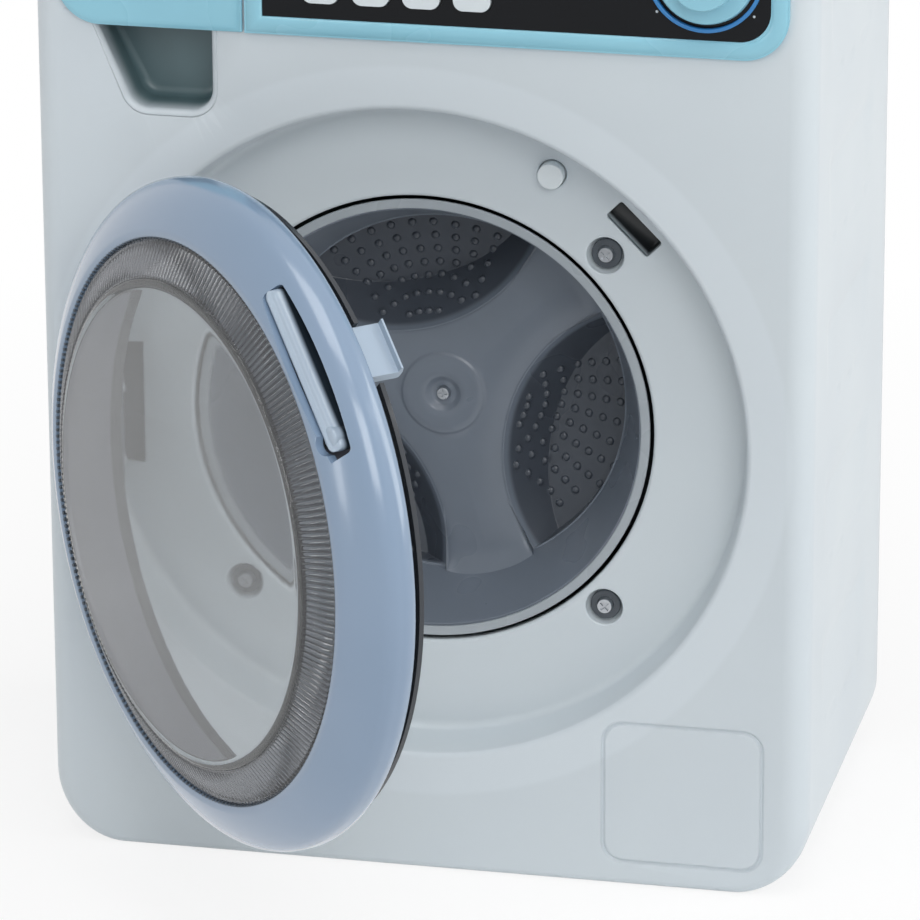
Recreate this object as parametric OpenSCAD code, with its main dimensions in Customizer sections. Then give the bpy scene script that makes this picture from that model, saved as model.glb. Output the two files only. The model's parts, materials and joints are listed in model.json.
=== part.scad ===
// Toy front-loading washing machine: a hollow cabinet with a round door, a geared drum, a control panel,
// a detergent drawer and a battery box. Everything is drawn in a "face frame" (x to the right, y up, z out of
// the cabinet's front face, which is z = 0) and set upright at the end.

/* [Cabinet] */
// Width of the cabinet
cabinet_w = 210; // [208:0.5:225]
// Depth of the cabinet, front face to rear rim
cabinet_d = 120; // [116:0.5:150]
// Height of the cabinet
cabinet_h = 288; // [284:0.5:320]
// Wall thickness of the cabinet
wall = 2.2; // [1.8:0.1:2.4]
// Corner radius seen from the front
corner_r = 20; // [16:0.5:24]
// Rounding of the front edges
edge_r = 7; // [6.8:0.1:8]
// Thickness of the rear cover
cover_t = 2.4; // [2:0.1:3]

/* [Dish and tub] */
// Distance from the cabinet's left side to the dish
dish_left = 12; // [11.6:0.1:13]
// Distance from the cabinet's right side to the dish
dish_right = 17.2; // [15:0.1:20]
// Gap between the dish and the panel above it
dish_gap = 18.8; // [18:0.1:24]
// Depth of the dish
dish_depth = 13.8; // [13.2:0.1:14.4]
// Amount by which the dish floor is smaller in radius
dish_draft = 2.5; // [2:0.1:3]
// Thickness of the dish floor
floor_t = 1.5; // [1.2:0.1:1.8]
// Distance from the dish's rim in to the drum mouth
mouth_in = 27.6; // [26:0.1:28.4]
// Distance from the mouth out to the circle of screws
screw_out = 7.2; // [7:0.1:8]
// Radius of the screw holes in the dish floor
cup_hole_r = 5; // [4.8:0.1:5.2]
// Wall thickness of the tub
tub_wall = 2; // [1.6:0.1:2.4]

/* [Drum and gears] */
// Gap between the mouth and the drum's rim ring
drum_gap = 1.1; // [0.8:0.1:2]
// Depth of the drum
drum_depth = 37; // [36:0.5:40]
// Radius of the drum shaft
shaft_r = 4; // [3:0.1:5]
// Module of the gear teeth
gear_m = 0.8; // [0.7:0.05:0.9]
// Teeth on the drum gear
drum_teeth = 60; // [48:4:64]
// Teeth on the large idler wheel
idler_teeth = 40; // [32:4:40]
// Teeth on the small idler wheel
idler_small_teeth = 12; // [12:1:14]
// Teeth on the motor pinion
pinion_teeth = 10; // [10:1:12]
// Diameter of the motor can
motor_d = 24; // [20:0.5:26]
// Length of the motor can
motor_len = 20; // [16:0.5:24]

/* [Door] */
// Opening angle of the door as drawn
door_open = 46.3; // [0:0.1:94]
// Gap between the dish's rim and the door ring
door_gap = 2.2; // [2:0.1:2.6]
// Width of the door ring
ring_w = 13.8; // [12.6:0.1:15]
// Width of the window's ribbed skirt
skirt_w = 10.3; // [8:0.1:12]
// Thickness of the window
window_t = 2; // [1.6:0.1:2.4]
// Distance from the door ring's rim in to the rear lip
lip_in = 3.9; // [3.4:0.1:4.2]
// How much smaller the rear frame's opening is than the window hole
rear_in = 1.8; // [1.4:0.1:2.4]
// Radius of the hinge pin
pin_r = 1.25; // [1:0.05:1.4]

/* [Latch] */
// Width of the latch slot
slot_w = 5.9; // [5.7:0.1:6.2]
// Length of the latch slot
slot_len = 15.5; // [13:0.1:18]
// Radius of the door-sensor button
sensor_r = 3.5; // [3:0.1:4]

/* [Panel and drawer] */
// Distance from the cabinet's top to the panel
panel_top = 9.6; // [8:0.1:12]
// Height of the panel and of the drawer front
panel_h = 45; // [44:0.5:46]
// How far the panel and the drawer front stand proud
proud = 1.2; // [1:0.1:1.6]
// Corner radius of the panel
panel_corner = 12; // [10:0.5:14]
// Width of the bezel round the lens
bezel_w = 4.8; // [4:0.1:5.4]
// Where the drawer front ends and the panel starts
split_x = -47; // [-49:0.5:-45]
// Radius of the programme knob
knob_r = 13.4; // [12:0.1:14.4]
// Gap between the knob and its ring
knob_gap = 0.9; // [0.7:0.1:1.4]
// How far the knob stands out
knob_h = 7; // [6:0.5:9]
// Depth of the drawer tray
tray_depth = 58; // [45:1:64]
// Wall of the drawer tray
tray_wall = 1.6; // [1.2:0.1:2]

/* [Rear] */
// Diameter of one cell
cell_d = 14.5; // [14:0.1:14.6]
// Length of one cell
cell_len = 50.5; // [49:0.1:51]
// Wall of the battery box
box_wall = 1.6; // [1.2:0.1:2]

/* [Hidden] */

$fn = 96;
hull_fn = 32;       // facets of the shapes inside a hull
gap = 0.3;          // usual clearance between parts
run_fit = 0.06;     // radial clearance of a turning shaft
over = 1;           // how far a cutting shape runs past a face

// Cabinet
boss_r = 3.6;
screw_r = 1.1;
head_r = 2.4;
head_h = 1.6;
cover_inset = 0.6;
cover_top_z = -cabinet_d + cover_inset + cover_t;

// Dish, mouth and tub
panel_y = cabinet_h - panel_top - panel_h;
dish_r = (cabinet_w - dish_left - dish_right) / 2;
dish_x = (dish_left - dish_right) / 2;
dish_y = panel_y - dish_gap - dish_r;
mouth_r = dish_r - mouth_in;
screw_ring_r = mouth_r + screw_out;
dish_floor_r = dish_r - dish_draft;
floor_back_z = -dish_depth - floor_t;
pan_t = 1.8;
screw_angles = [45, 135, 225, 315];
cup_r = 4.1;
cup_wall = 1.4;
cup_t = 1.2;
cup_floor_z = -dish_depth - cup_t - head_h - 0.4;
tub_front_z = cup_floor_z - floor_t;
tub_r = mouth_r + 0.6;
tub_boss_r = 5.4;
drum_front_z = -dish_depth - 0.8;
drum_back_z = drum_front_z - drum_depth;
tub_floor_z = drum_back_z - 1.6;
tub_back_z = tub_floor_z - tub_wall;

// Drum: a tapered wall, a star plate and three pockets
drum_rim_r = mouth_r - drum_gap;
rim_w = 2.6;
drum_mouth_r = drum_rim_r - rim_w;
drum_t = 1.5;
star_z = drum_front_z - 24.4;
star_r = drum_rim_r - 11.3;
pocket_r = 47;
pocket_at = star_r + 14.6;
pocket_angles = [105, -15, 225];
pocket_floor_r = 30;
pocket_rise = 6.4;
hub_r = 11.4;

// Gears, all on axes along z
bush_r = shaft_r + 2.5;
gear_t = 4.5;
drum_gear_z = tub_back_z - 3;
idler_big_z = drum_gear_z - gear_t - 1;
plate_z = idler_big_z - gear_t - 1.2;
plate_t = 2.4;
tooth_play = 0.12;
idler_dir = -20;
motor_dir = 62;
idler_at = gear_m * (drum_teeth + idler_small_teeth) / 2 + 0.05;
motor_at = gear_m * (idler_teeth + pinion_teeth) / 2 + 0.05;
idler_pin_r = 1.5;
motor_shaft_r = 1;
post_angles = [60, 150, 240, 300];
post_at = 44;
post_r = 3.6;

// Door
hinge_x = -cabinet_w / 2 + 5.6;
hinge_z = -5.6;
door_x = dish_x + 0.6;
door_y = dish_y - 0.8;
ring_r = dish_r - door_gap;
window_r = ring_r - ring_w;
skirt_r = window_r - skirt_w;
lip_r = ring_r - lip_in;
rear_open_r = window_r - rear_in;
window_z = 10.6;
skirt_rise = 3.2;
ring_t = 2;
front_arc_r = 6.8;
front_arc_z = -0.6;
rear_arc_r = 4.2;
rear_arc_z = -2.8;
ring_rear_z = rear_arc_z - rear_arc_r;
lip_z = -9.8;
lip_t = 1.3;
frame_wall = 1.8;
seat_z = 6.4;
door_screw_angles = [10, 82, 118, 242, 278, 330];
door_boss_at = ring_r - 8.8;
door_boss_r = 2.5;

// Hinge
arm_h = 33;
arm_t = 2.6;
knuckle_r = 2.4;
ear_t = 4;
ear_y = arm_h / 2 + 0.7;
spine_z = -21;
spine_t = 2.5;
bracket_screw_x = hinge_x + 19.4;
bracket_screw_y = ear_y + ear_t + 5.8;
arm_path = [[0, 0], [-1.4, -7.2], [-0.8, -10.4], [2.2, -12.6], [8, -12.6], [12.2, -10], [14.6, -5.6]];
foot_x = [12.8, 22.6];
foot_t = 2;
arm_cut_x = [3.8, 20.2];
arm_side = 0.8;
arm_bridge = 3.2;
arm_screw_y = 10;

// Latch
slot_angle = 45;
slot_at = dish_r - 9.5;
tab_t = 3.2;
tab_len = slot_len - 1.3;
barb = 2.1;
barb_h = 1.2;
latch_end_z = floor_back_z - 0.3 - barb_h;
latch_pin_r = 0.9;
latch_pivot_z = -2.6;
lever_len = 46;
lever_w = 4.6;
handle_out_r = ring_r - 3.1;
latch_pivot_x = -0.8;
lever_x = -2.3;
grip_foot_r = 3;
grip_foot = [lever_x - 0.9, 4 - lever_len / 2];
sensor_at = dish_r - 11;
sensor_angle = 63.7;
sensor_proud = 3;

// Panel
panel_x1 = cabinet_w / 2 - edge_r;
panel_x0 = -panel_x1;
panel_gap = 0.7;
bezel_x0 = split_x + panel_gap / 2;
bezel_cx = (bezel_x0 + panel_x1) / 2;
bezel_len = panel_x1 - bezel_x0;
front_x1 = split_x - panel_gap / 2;
front_cx = (panel_x0 + front_x1) / 2;
front_len = front_x1 - panel_x0;
panel_cy = panel_y + panel_h / 2;
lip_cover = 3.3;
drawer_cover = 4;
lens_t = 2.4;
lens_z = proud - 0.3;
tray_z = lens_z - lens_t;
tray_t = 1.6;
clip_w = 9;
clip_x = [-50, 0, 50];
board_z = -13;
board_t = 1.6;
knob_x = panel_x1 - 22;
knob_ring_w = 1.1;
knob_rim_h = 2.2;
grip_r = knob_r - 4.6;
selector_r = 3;
button_travel = 1.2;
start_x = 36;
start_r = 7.4;
option_pitch = 13.5;
option_x = [for (i = [0:3]) split_x + 21 + i * option_pitch];
option_y = panel_y + 12;
option_w = 10;
option_h = 5.6;
display_w = 50;
display_h = 19;
display_in = 16;
display_up = 19.5;
display_x = split_x + display_in + display_w / 2;
display_y = panel_y + display_up + display_h / 2;
flange_z = tray_z - tray_t - 0.2;
flange_t = 1.2;
board_edge = 6;
board_screw_x = bezel_len / 2 - board_edge - 4.325;
board_screw_y = panel_h / 2 - board_edge - 2.5;

// Drawer
drawer_open_w = front_len - 2 * drawer_cover;
drawer_open_h = panel_h - 2 * drawer_cover - 2;
drawer_cx = front_cx;
drawer_travel = 40;
guide_t = 1.5;

// Finger scoop under the drawer
scoop_depth = 14;
scoop_x0 = split_x - 38.4;
scoop_x1 = split_x - 9.2;
scoop_y0 = panel_y - 22.5;
scoop_y1 = panel_y + 2.6;
scoop_r = 6;
scoop_slant = 6;
scoop_wall = 1.6;

// Hatch outline
hatch_x = cabinet_w / 2 - 33.8;
hatch_y = 27;
hatch_w = 44.5;
hatch_h = 41;
hatch_corner = 6;
groove = 1;

// Rear
vent_y = cabinet_h - 118;
speaker_r = 20;
cell_pitch = cell_d + 1;
cell_count = 3;
post_room = 9;
cells_y = 44;
box_w = cell_count * cell_pitch + 2 * box_wall + 1;
box_h = cell_len + 7 + 2 * box_wall + post_room;
cell_shift = -post_room / 2;
box_back_z = -cabinet_d + cover_inset;
box_depth = cell_d + 3.4;
cover_plate_t = 1.6;
cover_screw_x = cabinet_w / 2 - wall - 5.4;
cover_screw_y = [15, cabinet_h / 2, cabinet_h - 15];
cover_pin_len = 9;
boss_len = 26;

// ---------- Helpers ----------

// Stands a shape of the face frame upright in the part's own frame.
module upright() rotate([90, 0, 0]) translate([0, 0, cabinet_d / 2]) children();

// Swings door pieces, drawn closed, to their opening angle.
module on_door() {
  translate([hinge_x, 0, hinge_z]) rotate([0, -door_open, 0]) translate([-hinge_x, 0, -hinge_z]) children();
}

module at_dish() translate([dish_x, dish_y, 0]) children();
module at_door() translate([door_x, door_y, 0]) children();

// Places children at a radius and an angle round the current z axis, turned with the angle.
module polar(at, angle) rotate([0, 0, angle]) translate([at, 0, 0]) children();

// A straight round bar between two depths.
module bar(r, z0, z1, r2 = 0) translate([0, 0, z0]) cylinder(h = z1 - z0, r1 = r, r2 = r2 == 0 ? r : r2);

// A rectangular block given by its middle in x and y and its depths.
module block(w, h, z0, z1) translate([-w / 2, -h / 2, z0]) cube([w, h, z1 - z0]);

module rounded_rect(w, h, r) {
  square([w - 2 * r, h], center = true);
  square([w, h - 2 * r], center = true);
  for (sx = [-1, 1], sy = [-1, 1]) translate([sx * (w / 2 - r), sy * (h / 2 - r)]) circle(r);
}

module rounded_block(w, h, r, z0, z1) translate([0, 0, z0]) linear_extrude(z1 - z0) rounded_rect(w, h, r);

// A plate that is rounded at its left or right end only.
module one_end_round(w, h, r, side) {
  translate([-side * r / 2, 0]) square([w - r, h], center = true);
  translate([side * (w / 2 - r / 2), 0]) square([r, h - 2 * r], center = true);
  for (sy = [-1, 1]) translate([side * (w / 2 - r), sy * (h / 2 - r)]) circle(r);
}

function arc(cx, cy, r, a0, a1, n = 8) =
  [for (i = [0:n]) let (a = a0 + (a1 - a0) * i / n) [cx + r * cos(a), cy + r * sin(a)]];
function flip(list) = [for (i = [len(list) - 1:-1:0]) list[i]];
function unit(v) = v / norm(v);
function left_of(v) = [-v[1], v[0]];

// One side of a thick polyline, mitred at its corners.
function path_side(p, off) = [for (i = [0:len(p) - 1])
  let (a = unit(i == 0 ? p[1] - p[0] : p[i] - p[i - 1]),
       b = i == len(p) - 1 ? a : unit(p[i + 1] - p[i]),
       m = unit(left_of(a) + left_of(b)))
  p[i] + m * off / (m * left_of(a))];

module thick_path(p, t) polygon(concat(path_side(p, t / 2), flip(path_side(p, -t / 2))));

// Extrudes an outline of x against z along y, centred on y = 0.
module along_y(len) rotate([90, 0, 0]) linear_extrude(len, center = true) children();

// Pan-head screw: the head sits on z = 0 and the shank points to -z.
module screw(len, r = screw_r, head = head_r) {
  difference() {
    union() {
      bar(head, 0, head_h, head * 0.8);
      bar(r, -len, over / 10);
    }
    for (a = [0, 90]) rotate([0, 0, a]) block(head * 1.2, head * 0.25, head_h - 0.7, head_h + over);
  }
}

// Involute spur gear outline with a tooth centred on +x.
function roll(rb, r) = sqrt(max(0, pow(r / rb, 2) - 1)) * 180 / PI;
function flank_angle(rb, r) = roll(rb, r) - atan(roll(rb, r) * PI / 180);
module gear_outline(teeth, bore) {
  pitch_r = gear_m * teeth / 2;
  base_r = pitch_r * cos(20);
  tip_r = pitch_r + 0.9 * gear_m;
  root_r = pitch_r - 1.2 * gear_m;
  half = 90 / teeth - tooth_play / pitch_r * 180 / PI / 2 + flank_angle(base_r, pitch_r);
  steps = 4;
  low_r = max(base_r, root_r);
  difference() {
    union() {
      circle(root_r + 0.02);
      for (i = [0:teeth - 1]) rotate(i * 360 / teeth) polygon(concat(
        [[root_r * 0.96 * cos(half), -root_r * 0.96 * sin(half)]],
        [for (k = [0:steps]) let (r = low_r + (tip_r - low_r) * k / steps, a = half - flank_angle(base_r, r))
          [r * cos(a), -r * sin(a)]],
        [for (k = [steps:-1:0]) let (r = low_r + (tip_r - low_r) * k / steps, a = half - flank_angle(base_r, r))
          [r * cos(a), r * sin(a)]],
        [[root_r * 0.96 * cos(half), root_r * 0.96 * sin(half)]]));
    }
    circle(bore);
  }
}

// ---------- Cabinet ----------

// Solid cabinet outline, inset by a wall, with rounded front edges.
module cabinet_block(inset, back_z) {
  r = corner_r - inset;
  e = edge_r - inset;
  hull() for (sx = [-1, 1], y = [corner_r, cabinet_h - corner_r])
    translate([sx * (cabinet_w / 2 - corner_r), y, 0]) {
      translate([0, 0, -edge_r]) rotate_extrude($fn = hull_fn) translate([r - e, 0]) circle(e, $fn = hull_fn);
      translate([0, 0, back_z]) cylinder(h = 1, r = r, $fn = hull_fn);
    }
}

// Round dish wall: radius at a depth z below the front face.
function dish_wall_r(z) = dish_r + dish_draft * z / dish_depth;

module dish_cut() {
  translate([0, 0, -dish_depth])
    cylinder(h = dish_depth + over, r1 = dish_floor_r, r2 = dish_wall_r(over), $fn = 180);
  bar(dish_r, -1.2, over, dish_r + 1.2 + over);
  bar(mouth_r, floor_back_z - over, over);
}

module scoop_outline(off) polygon(concat(
  [[scoop_x1 + off, scoop_y1 + off], [scoop_x0 - off - scoop_slant / 2, scoop_y1 + off]],
  arc(scoop_x0 + scoop_slant + scoop_r, scoop_y0 + scoop_r, scoop_r + off, 197, 270, 6),
  arc(scoop_x1 - scoop_r, scoop_y0 + scoop_r, scoop_r + off, 270, 360, 8)));

module latch_slot_cut() at_dish() polar(slot_at, slot_angle)
  block(slot_w, slot_len, floor_back_z - over, -dish_depth + over);

module cover_bosses() for (sx = [-1, 1], y = cover_screw_y) translate([sx * cover_screw_x, y, 0]) {
  bar(boss_r, cover_top_z, cover_top_z + boss_len);
  translate([sx * (boss_r + wall) / 2, 0, 0]) block(boss_r + wall + 1, 2, cover_top_z, cover_top_z + boss_len);
}

module front_shell() color("#c4cdd4") upright() difference() {
  union() {
    difference() {
      cabinet_block(0, -cabinet_d);
      cabinet_block(wall, -cabinet_d - over);
    }
    at_dish() bar(dish_floor_r + pan_t, floor_back_z, -wall / 2, dish_r + pan_t);
    translate([0, 0, -scoop_depth - scoop_wall]) linear_extrude(scoop_depth + scoop_wall - wall / 2)
      scoop_outline(scoop_wall);
    cover_bosses();
    at_dish() bar(tub_r + tub_wall, tub_front_z + gap, floor_back_z + 0.1);
    at_dish() for (a = screw_angles) polar(screw_ring_r, a) bar(cup_hole_r + cup_wall, tub_front_z, floor_back_z + 0.1);
    for (sy = [-1, 1]) translate([bracket_screw_x, dish_y + sy * bracket_screw_y, 0])
      bar(3, spine_z, floor_back_z + 0.4);
  }
  at_dish() dish_cut();
  latch_slot_cut();
  at_dish() bar(tub_r, tub_front_z - over, floor_back_z);
  at_dish() for (a = screw_angles) polar(screw_ring_r, a) {
    bar(cup_hole_r, cup_floor_z, 0);
    bar(screw_r + 0.2, tub_front_z - over, 0);
  }
  at_dish() polar(sensor_at, sensor_angle) bar(sensor_r + gap, floor_back_z - over, 0);
  at_hinge() translate([arm_cut_x[0], -arm_h / 2 - arm_side, floor_back_z - over - hinge_z])
    cube([arm_cut_x[1] - arm_cut_x[0], arm_h + 2 * arm_side, -floor_back_z + over - arm_bridge]);
  translate([0, 0, -scoop_depth]) linear_extrude(scoop_depth + over) scoop_outline(0);
  at_panel() translate([0, 0, -wall - over]) linear_extrude(wall + 2 * over)
    one_end_round(bezel_len - 2 * lip_cover, panel_h - 2 * lip_cover, panel_corner - lip_cover, 1);
  translate([drawer_cx, panel_cy + 1, 0]) block(drawer_open_w, drawer_open_h, -wall - 3, over);
  translate([hatch_x, hatch_y, 0]) difference() {
    rounded_block(hatch_w, hatch_h, hatch_corner, -0.5, over);
    rounded_block(hatch_w - 2 * groove, hatch_h - 2 * groove, hatch_corner - groove, -over, 2 * over);
  }
  for (sx = [-1, 1], y = cover_screw_y) translate([sx * cover_screw_x, y, 0])
    bar(screw_r, cover_top_z - over, cover_top_z + cover_pin_len);
  for (sy = [-1, 1]) translate([bracket_screw_x, dish_y + sy * bracket_screw_y, 0])
    bar(screw_r, spine_z - over, floor_back_z);
}

module rear_cover() color("#c4cdd4") upright() difference() {
  translate([0, cabinet_h / 2, 0]) rounded_block(cabinet_w - 2 * (wall + gap), cabinet_h - 2 * (wall + gap),
    corner_r - wall - gap, cover_top_z - cover_t, cover_top_z);
  for (sx = [-1, 1], y = cover_screw_y) translate([sx * cover_screw_x, y, 0])
    bar(screw_r + 0.2, cover_top_z - cover_t - over, cover_top_z + over);
  translate([0, cells_y, 0]) block(box_w + 2 * gap, box_h + 2 * gap, cover_top_z - cover_t - over, cover_top_z + over);
  for (i = [-4:4]) translate([0, vent_y + i * 8, 0])
    rounded_block(60, 3, 1.45, cover_top_z - cover_t - over, cover_top_z + over);
}

module cover_screws() color("#9aa0a6") upright()
  for (sx = [-1, 1], y = cover_screw_y) translate([sx * cover_screw_x, y, cover_top_z - cover_t])
    rotate([180, 0, 0]) screw(cover_t + cover_pin_len - 1);

// ---------- Tub, screws and drum ----------

module tub() color("#3c4146") upright() at_dish() difference() {
  union() {
    bar(tub_r + tub_wall, tub_back_z, tub_front_z);
    for (a = screw_angles) polar(screw_ring_r, a) bar(tub_boss_r, tub_front_z - 16, tub_front_z);
    for (a = post_angles) polar(post_at, a) bar(post_r, plate_z, tub_back_z + 0.5);
    bar(bush_r + 2.4, tub_back_z - 1.6, tub_back_z + 0.5);
  }
  bar(tub_r, tub_floor_z, tub_front_z + over);
  bar(bush_r, tub_back_z - 2, tub_floor_z + over);
  for (a = screw_angles) polar(screw_ring_r, a) bar(screw_r, tub_front_z - 12, tub_front_z + over);
  for (a = post_angles) polar(post_at, a) bar(screw_r, plate_z - over, plate_z + 8);
}

// Dark cups that hold the four screws round the mouth.
module screw_cups() color("#4a5158") upright() at_dish() for (a = screw_angles) polar(screw_ring_r, a)
  difference() {
    bar(cup_r, cup_floor_z, cup_floor_z + cup_t);
    bar(screw_r + 0.2, cup_floor_z - over, cup_floor_z + cup_t + over);
  }

module front_screws() color("#b9bec4") upright() at_dish() for (a = screw_angles) polar(screw_ring_r, a)
  translate([0, 0, cup_floor_z + cup_t]) screw(cup_t + floor_t + 8);

// One pocket of the star plate, with a sloping flank.
module pocket(grow, z0) intersection() {
  bar(star_r + grow, z0, star_z + over);
  translate([pocket_at, 0, 0]) bar(pocket_r + 1.4 * grow - (star_z - z0), z0, star_z + over,
    pocket_r + 1.4 * grow + over);
}

// The three pockets as solids, with a floor that rises towards the rim.
module pockets(grow, lift) intersection() {
  for (a = pocket_angles) rotate([0, 0, a]) pocket(grow, drum_back_z + lift);
  union() {
    bar(pocket_floor_r, drum_back_z + lift, drum_back_z + lift + pocket_rise, drum_mouth_r);
    bar(drum_mouth_r, drum_back_z + lift + pocket_rise - 0.01, star_z + 2 * over);
  }
}

module drum() color("#4a5158") upright() at_dish() difference() {
  union() {
    bar(star_r + drum_t, star_z - drum_t, drum_front_z - 1, drum_mouth_r + drum_t);
    pockets(drum_t - 0.4, 0);
    bar(hub_r, drum_back_z, star_z + 0.6);
  }
  bar(star_r, star_z, drum_front_z + over, drum_mouth_r + 0.2);
  difference() {
    pockets(-0.4, drum_t);
    bar(hub_r + 1, drum_back_z, star_z + 3);
  }
  bar(shaft_r, drum_back_z - over, star_z - 1.6);
  bar(screw_r + 0.2, star_z - 3, star_z + over);
}

module drum_rim() color("#a7aeb3") upright() at_dish() difference() {
  bar(drum_rim_r, drum_front_z - 1, drum_front_z);
  bar(drum_mouth_r, drum_front_z - 1 - over, drum_front_z + over);
}

module drum_screw() color("#c8ccd0") upright() at_dish() translate([0, 0, star_z + 0.6]) screw(9, screw_r, 2);

module drum_shaft() color("#b9bec4") upright() at_dish() difference() {
  bar(shaft_r, drum_gear_z - gear_t, star_z - 1.6);
  bar(screw_r, star_z - 12, star_z);
  bar(screw_r, drum_gear_z - gear_t - over, drum_gear_z + 6);
}

module shaft_bush() color("#b08d4f") upright() at_dish() difference() {
  union() {
    bar(bush_r, tub_back_z - 1.6, tub_floor_z);
    bar(bush_r + 1.2, tub_back_z - 2.6, tub_back_z - 1.6);
  }
  bar(shaft_r + run_fit, tub_back_z - 4, tub_floor_z + over);
}

// ---------- Gear train ----------

module at_idler() at_dish() polar(idler_at, idler_dir) rotate([0, 0, -idler_dir]) children();
module at_motor() at_idler() polar(motor_at, motor_dir) rotate([0, 0, -motor_dir]) children();

module drum_gear() color("#e8e4d8") upright() at_dish() translate([0, 0, drum_gear_z - gear_t])
  rotate([0, 0, idler_dir]) linear_extrude(gear_t) gear_outline(drum_teeth, shaft_r);

module gear_screw() color("#b9bec4") upright() at_dish() translate([0, 0, drum_gear_z - gear_t])
  rotate([180, 0, 0]) screw(5, screw_r, head_r + 1);

module idler_gear() color("#e8e4d8") upright() at_idler() difference() {
  union() {
    translate([0, 0, idler_big_z - 0.5]) rotate([0, 0, idler_dir + 180 + 180 / idler_small_teeth])
      linear_extrude(drum_gear_z - idler_big_z + 0.5) gear_outline(idler_small_teeth, idler_pin_r + run_fit);
    translate([0, 0, idler_big_z - gear_t]) rotate([0, 0, motor_dir])
      linear_extrude(gear_t) gear_outline(idler_teeth, idler_pin_r + run_fit);
  }
  bar(idler_pin_r + run_fit, idler_big_z - gear_t - over, drum_gear_z + over);
}

module idler_pin() color("#b9bec4") upright() at_idler() bar(idler_pin_r, plate_z - plate_t, tub_back_z);

module motor_pinion() color("#e8e4d8") upright() at_motor() translate([0, 0, idler_big_z - gear_t])
  rotate([0, 0, motor_dir + 180 + 180 / pinion_teeth])
  linear_extrude(gear_t) gear_outline(pinion_teeth, motor_shaft_r);

module motor_shaft() color("#b9bec4") upright() at_motor()
  bar(motor_shaft_r, plate_z - plate_t - 10, idler_big_z);

module motor() color("#8b9198") upright() at_motor() difference() {
  union() {
    bar(motor_d / 2, plate_z - plate_t - motor_len, plate_z - plate_t);
    bar(3, plate_z - plate_t - 0.1, plate_z - 0.8);
  }
  bar(motor_shaft_r + run_fit, plate_z - plate_t - 11, plate_z + over);
}

module gearbox_plate() color("#5b646d") upright() difference() {
  at_dish() bar(post_at + post_r + 1.4, plate_z - plate_t, plate_z);
  at_dish() for (a = post_angles) polar(post_at, a) bar(screw_r + 0.2, plate_z - plate_t - over, plate_z + over);
  at_idler() bar(idler_pin_r, plate_z - plate_t - over, plate_z + over);
  at_motor() bar(3 + 0.1, plate_z - plate_t - over, plate_z + over);
}

module gearbox_screws() color("#b9bec4") upright() at_dish() for (a = post_angles) polar(post_at, a)
  translate([0, 0, plate_z - plate_t]) rotate([180, 0, 0]) screw(plate_t + 7);

// ---------- Control panel ----------

module at_panel() translate([bezel_cx, panel_cy, 0]) children();
module at_knob() translate([knob_x, panel_cy, 0]) children();

module panel_holes(clear) {
  at_knob() bar(selector_r + 1 + clear, tray_z - tray_t - over, proud + over);
  translate([start_x, panel_cy, 0]) bar(start_r + clear, tray_z - tray_t - over, proud + over);
  for (x = option_x) translate([x, option_y, 0])
    rounded_block(option_w + 2 * clear, option_h + 2 * clear, option_h / 2 - 0.1 + clear,
      tray_z - tray_t - over, proud + over);
}

module panel_bezel() color("#8fc9d8") upright() difference() {
  union() {
    at_panel() linear_extrude(proud) one_end_round(bezel_len, panel_h, panel_corner, 1);
    at_panel() translate([0, 0, tray_z - tray_t]) linear_extrude(tray_t - tray_z + 0.1)
      one_end_round(bezel_len - 2 * (lip_cover + gap), panel_h - 2 * (lip_cover + gap),
        panel_corner - lip_cover - gap, 1);
    for (x = clip_x, sy = [-1, 1]) at_panel() translate([x, sy * (panel_h / 2 - lip_cover - 0.2), 0])
      block(clip_w, 2, tray_z - tray_t, -wall - 0.1);
    for (sx = [-1, 1], sy = [-1, 1]) at_panel() translate([sx * board_screw_x, sy * board_screw_y, 0])
      bar(3, board_z, tray_z - tray_t + 0.1);
  }
  at_panel() translate([0, 0, tray_z]) linear_extrude(proud - tray_z + over)
    one_end_round(bezel_len - 2 * bezel_w, panel_h - 2 * bezel_w, panel_corner - bezel_w + 1.2, 1);
  panel_holes(gap);
  translate([display_x, display_y, 0]) block(display_w + 1, display_h + 1, tray_z - tray_t - over, tray_z + over);
  for (sx = [-1, 1], sy = [-1, 1]) at_panel() translate([sx * board_screw_x, sy * board_screw_y, 0])
    bar(screw_r, board_z - over, tray_z - tray_t - 1);
}

module panel_lens() color("#101214") upright() difference() {
  at_panel() translate([0, 0, tray_z]) linear_extrude(lens_t)
    one_end_round(bezel_len - 2 * bezel_w - 0.1, panel_h - 2 * bezel_w - 0.1, panel_corner - bezel_w + 1.15, 1);
  panel_holes(gap);
}

module knob_ring() color("#2f7fc0") upright() at_knob() difference() {
  bar(knob_r + knob_gap + knob_ring_w, proud - 0.3, proud + 1.3);
  bar(knob_r + knob_gap, proud - over, proud + 2 * over);
}

// Knob: a low rim, a round grip on it and a pointer groove.
module programme_knob() color("#7fc3d3") upright() at_knob() difference() {
  union() {
    bar(knob_r, proud + 0.4, proud + knob_rim_h, knob_r - 0.7);
    bar(grip_r, proud + knob_rim_h - 0.1, proud + knob_h, grip_r - 0.7);
  }
  bar(selector_r, proud, proud + knob_h - 3);
  translate([0, grip_r * 0.6, 0]) block(1.6, grip_r * 0.5, proud + knob_h - 0.6, proud + knob_h + over);
}

module selector_shaft() color("#e8e4d8") upright() at_knob() bar(selector_r, board_z + 2, proud + knob_h - 3);

module selector_switch() color("#2b2f33") upright() at_knob() difference() {
  union() {
    block(13, 13, board_z, board_z + 5);
    bar(selector_r + 0.8, board_z + 4.9, tray_z);
  }
  bar(selector_r + run_fit, board_z + 2, over);
}

module start_button() color("#d9e4e8") upright() translate([start_x, panel_cy, 0]) {
  bar(start_r, flange_z - flange_t, proud + 1.2);
  bar(start_r + 1.3, flange_z - flange_t, flange_z);
}

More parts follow.
